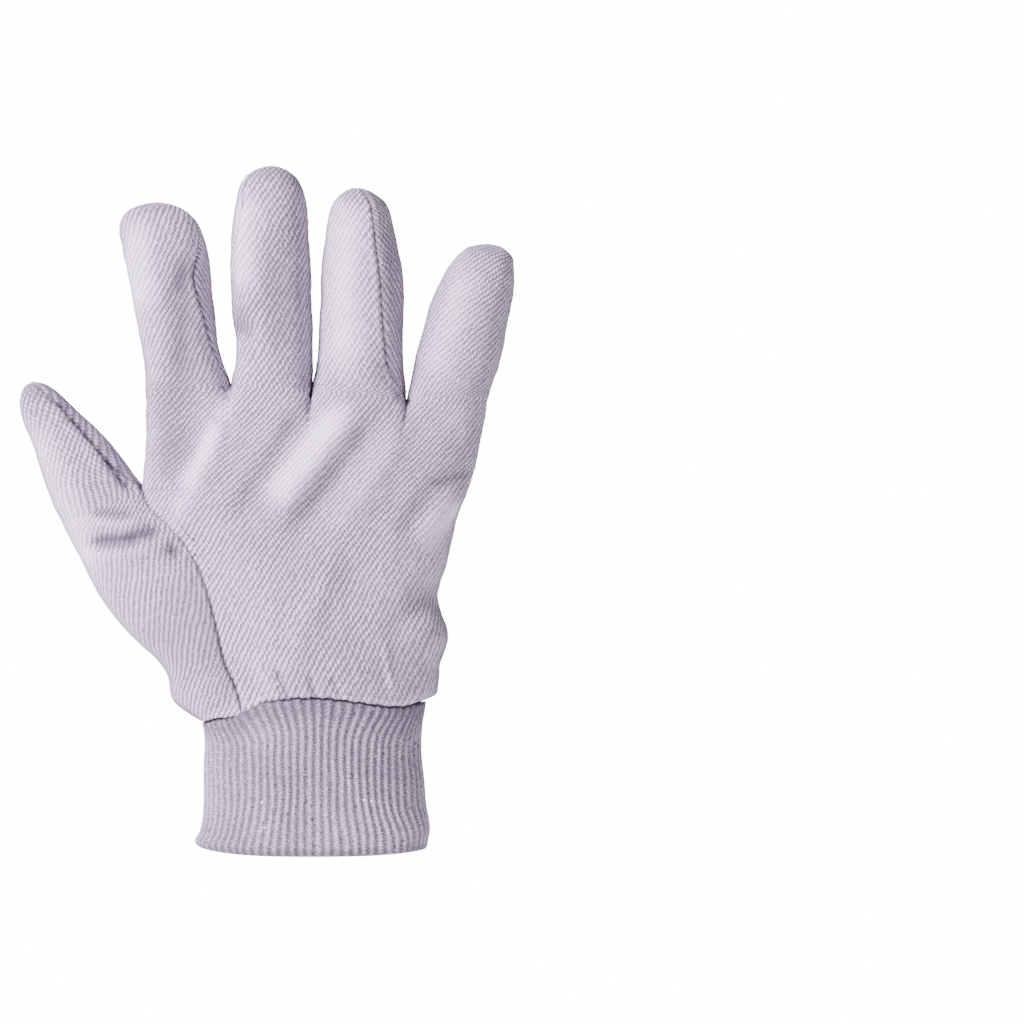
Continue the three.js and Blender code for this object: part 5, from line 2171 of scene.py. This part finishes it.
@dataclass(frozen=True)
class KnitFinish:
    """Ribbed cotton knit: a column of stitches on each rib, with lint; painted shade darkens it between
    the ribs, below the cuff seam, along the hem and at its outline.
    """

    name: str
    stitch: float = 1.15
    stitch_slant: float = 1.7
    stitch_jitter: float = 3.0
    rib_jitter: float = 0.3
    relief: float = 0.5
    yarn_noise: Triple = (520, 2, 0.6)
    fibre_noise: Triple = (1300, 3, 0.7)
    patch_noise: tuple[float, float] = (45, 3)
    # painted light on each rib and painted shade between the ribs
    ridge: tuple[float, float, float, float] = (0.08, 0.42, 1, 0)
    stitch_height: float = 0.55
    stitch_shade: float = 0.4
    fibre_shade: float = 1.7
    rib_light_and_shade: float = 0.4
    patch_shade: float = 0.8
    shades: tuple[float, float] = (1.1, 2.6)
    high: Triple = (218, 207, 228)
    low: Triple = (110, 102, 116)
    nep: Triple = (250, 244, 254)
    # the colour of the dark husks, and of the painted shadow line at the cuff seam
    dark: Triple = (58, 51, 65)
    # the colour and the most of the painted shade towards the outline, where faces turn away from the view
    edge: Triple = (96, 88, 104)
    rim: float = 0.85
    # painted shade: a band from shade_from up to the cuff seam, a darker line at the seam from seam_from
    # to seam_to, and a band along the hem from hem_from to hem_to
    shade_from: float = 42
    seam_from: float = 54.4
    seam_to: float = 55.4
    seam_shadow: float = 0.6
    under_seam_shadow: float = 0.35
    hem_from: float = 0.6
    hem_to: float = 4
    hem_shadow: float = 0.4
    lint: Specks = Specks(190, 0.08, 0.12, 0.9, 90, 1, 0.58, 0.6)
    husks: Specks = Specks(420, 0.14, 0.3, 0.6, 95, 2, 0.46, 0.54)

    def build(self) -> bpy.types.Material:
        """Builds the material.

        Returns:
            The material.
        """
        make = Nodes(self.name)
        place = make.object_place()
        parts = make.add("ShaderNodeSeparateXYZ", None, Vector=make.pattern_place())
        rib, up = parts.outputs[0], parts.outputs[1]
        yarn = make.noise(place, *self.yarn_noise)
        fibre = make.noise(place, *self.fibre_noise)
        rib = make.plus(make.minus(yarn, 0.5), self.rib_jitter, rib)
        off = make.maths("ABSOLUTE", make.minus(rib, make.maths("ROUND", rib)))
        rows = make.maths("DIVIDE", up, self.stitch * UV_SCALE)
        rows = make.plus(off, self.stitch_slant, rows)
        rows = make.plus(yarn, self.stitch_jitter, rows)
        loops = make.maths("SINE", make.maths("MULTIPLY", rows, 2 * math.pi))
        loops = make.plus(loops, 0.5, 0.5)
        height = make.plus(loops, self.stitch_height, fibre)
        shade = make.plus(loops, self.stitch_shade, make.maths("MULTIPLY", fibre, self.fibre_shade))
        # painted light on the ribs, painted shade between them
        shade = make.plus(make.ranged(off, *self.ridge), self.rib_light_and_shade, shade)
        shade = make.plus(make.noise(place, *self.patch_noise), self.patch_shade, shade)
        # painted shade in a band below the cuff seam and along the hem
        below = make.ranged(up, self.shade_from * UV_SCALE, self.seam_to * UV_SCALE, 0, self.under_seam_shadow)
        hem = make.ranged(up, self.hem_from * UV_SCALE, self.hem_to * UV_SCALE, self.hem_shadow, 0)
        shade = make.minus(shade, make.maths("ADD", below, hem))
        colour = make.blend(make.ranged(shade, *self.shades, 0, 1), linear(self.low), linear(self.high))
        colour = make.blend(make.specks(place, self.lint), colour, linear(self.nep))
        colour = make.blend(make.specks(place, self.husks), colour, linear(self.dark))
        # painted shadow line at the cuff seam
        seam = make.ranged(up, self.seam_from * UV_SCALE, self.seam_to * UV_SCALE, 0, self.seam_shadow)
        colour = make.blend(seam, colour, linear(self.dark))
        # painted shade towards the outline, where faces turn away from the view
        colour = make.blend(make.rim(self.rim), colour, linear(self.edge))
        return make.cotton(colour, height, self.relief)


@dataclass(frozen=True)
class ThreadFinish:
    """Grey sewing thread with a fine twist."""

    name: str
    colour: Triple = (112, 104, 120)
    darker: float = 0.7
    twist_noise: tuple[float, float] = (2600, 2)
    relief: float = 0.08
    roughness: float = 0.9

    def build(self) -> bpy.types.Material:
        """Builds the material.

        Returns:
            The material.
        """
        make = Nodes(self.name)
        twist = make.noise(make.object_place(), *self.twist_noise)
        dark = tuple(self.darker * part for part in self.colour)
        make.put(make.shader.inputs["Base Color"], make.blend(twist, linear(dark), linear(self.colour)))
        bump = make.add("ShaderNodeBump", None, Height=twist, Distance=self.relief * MM, Strength=1.0)
        make.put(make.shader.inputs["Normal"], bump.outputs[0])
        make.put(make.shader.inputs["Roughness"], self.roughness)
        return make.material


# The lights: their place and size in metres and their power in watts
LAMPS = table(
    "name place size watts",
    ("key", (-1.3, -0.8, 0.95), 0.7, 125),
    ("fill", (1.25, -1.1, 0.35), 1.4, 12),
    ("back", (-0.7, 1.35, 0.9), 0.8, 32),
)


@dataclass
class Studio:
    """The camera, the soft lights and the pale floor."""

    axis_x: float = 70.6
    axis_z: float = 120.9
    distance: float = 1360
    view_width: float = 363.5
    sensor: float = 36
    far_end: float = 100
    middle: Triple = (0, 0, 0.12)
    floor_drop: float = 300
    floor_radius: float = 700
    floor_sides: int = 96
    floor_white: float = 0.95
    sky: float = 0.3
    white: float = 16
    tint: Triple = (1.035, 0.88, 1.11)

    def build(self) -> None:
        """Sets up the camera, the lights, the sky and the floor."""
        self.camera()
        for lamp in LAMPS:
            self.light(lamp)
        self.world()
        self.floor()

    def camera(self) -> None:
        """Places the camera in front of the palm, on the axis that the picture has."""
        data = bpy.data.cameras.new("camera")
        data.sensor_width = self.sensor
        data.lens = self.sensor * self.distance / self.view_width
        data.clip_end = self.far_end
        camera = bpy.data.objects.new("camera", data)
        camera.location = (self.axis_x * MM, -self.distance * MM, self.axis_z * MM)
        camera.rotation_euler = (math.pi / 2, 0, 0)
        bpy.context.scene.collection.objects.link(camera)
        bpy.context.scene.camera = camera

    def light(self, lamp: SimpleNamespace) -> None:
        """Adds a soft square light that faces the middle of the glove.

        Args:
            lamp: Its row of the table.
        """
        data = bpy.data.lights.new(lamp.name, "AREA")
        data.size = lamp.size
        data.energy = lamp.watts
        data.color = self.tint
        obj = bpy.data.objects.new(lamp.name, data)
        obj.location = lamp.place
        aim = Vector(self.middle) - obj.location
        obj.rotation_euler = aim.to_track_quat("-Z", "Y").to_euler()
        bpy.context.scene.collection.objects.link(obj)

    def world(self) -> None:
        """Makes a white sky that lights the glove more softly than it shows."""
        world = bpy.data.worlds.new("sky")
        world.use_nodes = True
        nodes, links = world.node_tree.nodes, world.node_tree.links
        background = nodes["Background"]
        background.inputs["Color"].default_value = (1, 1, 1, 1)
        path = nodes.new("ShaderNodeLightPath")
        strength = nodes.new("ShaderNodeMapRange")
        strength.inputs["To Min"].default_value = self.sky
        strength.inputs["To Max"].default_value = self.white
        links.new(path.outputs["Is Camera Ray"], strength.inputs["Value"])
        links.new(strength.outputs[0], background.inputs["Strength"])
        bpy.context.scene.world = world

    def floor(self) -> None:
        """Adds a round pale floor a little below the glove."""
        mesh = bmesh.new()
        radius = self.floor_radius * MM
        bmesh.ops.create_circle(mesh, cap_ends=True, segments=self.floor_sides, radius=radius)
        bmesh.ops.translate(mesh, vec=(0, 0, -self.floor_drop * MM), verts=mesh.verts)
        data = bpy.data.meshes.new("floor")
        mesh.to_mesh(data)
        mesh.free()
        make = Nodes("pale_floor")
        make.put(make.shader.inputs["Base Color"], (self.floor_white,) * 3 + (1,))
        make.put(make.shader.inputs["Roughness"], 1.0)
        make.put(make.shader.inputs["Emission Color"], (1, 1, 1, 1))
        make.put(make.shader.inputs["Emission Strength"], 1.0)
        data.materials.append(make.material)
        floor = bpy.data.objects.new("floor", data)
        bpy.context.scene.collection.objects.link(floor)


def dress(pieces: list[bpy.types.Object], material: bpy.types.Material) -> None:
    """Gives pieces their material and reports them.

    Args:
        pieces: The objects.
        material: The material.
    """
    for obj in pieces:
        obj.data.materials.append(material)
        LOG.info("%s has %d faces", obj.name, len(obj.data.polygons))


def main() -> None:
    """Builds the glove's pieces, dresses them and sets up the studio."""
    logging.basicConfig(level=logging.INFO, format="%(name)s: %(message)s")
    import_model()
    shape = HandShape()
    cloth = Cloth(shape).build()
    dress(list(cloth.values()), TwillFinish("napped_twill").build())
    cuff = Cuff(shape).build()
    dress([cuff], KnitFinish("rib_knit").build())
    for obj in (*cloth.values(), cuff):
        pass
    dress([Stitches(cloth).build()], ThreadFinish("grey_thread").build())
    Studio().build()


if __name__ == "__main__":
    main()
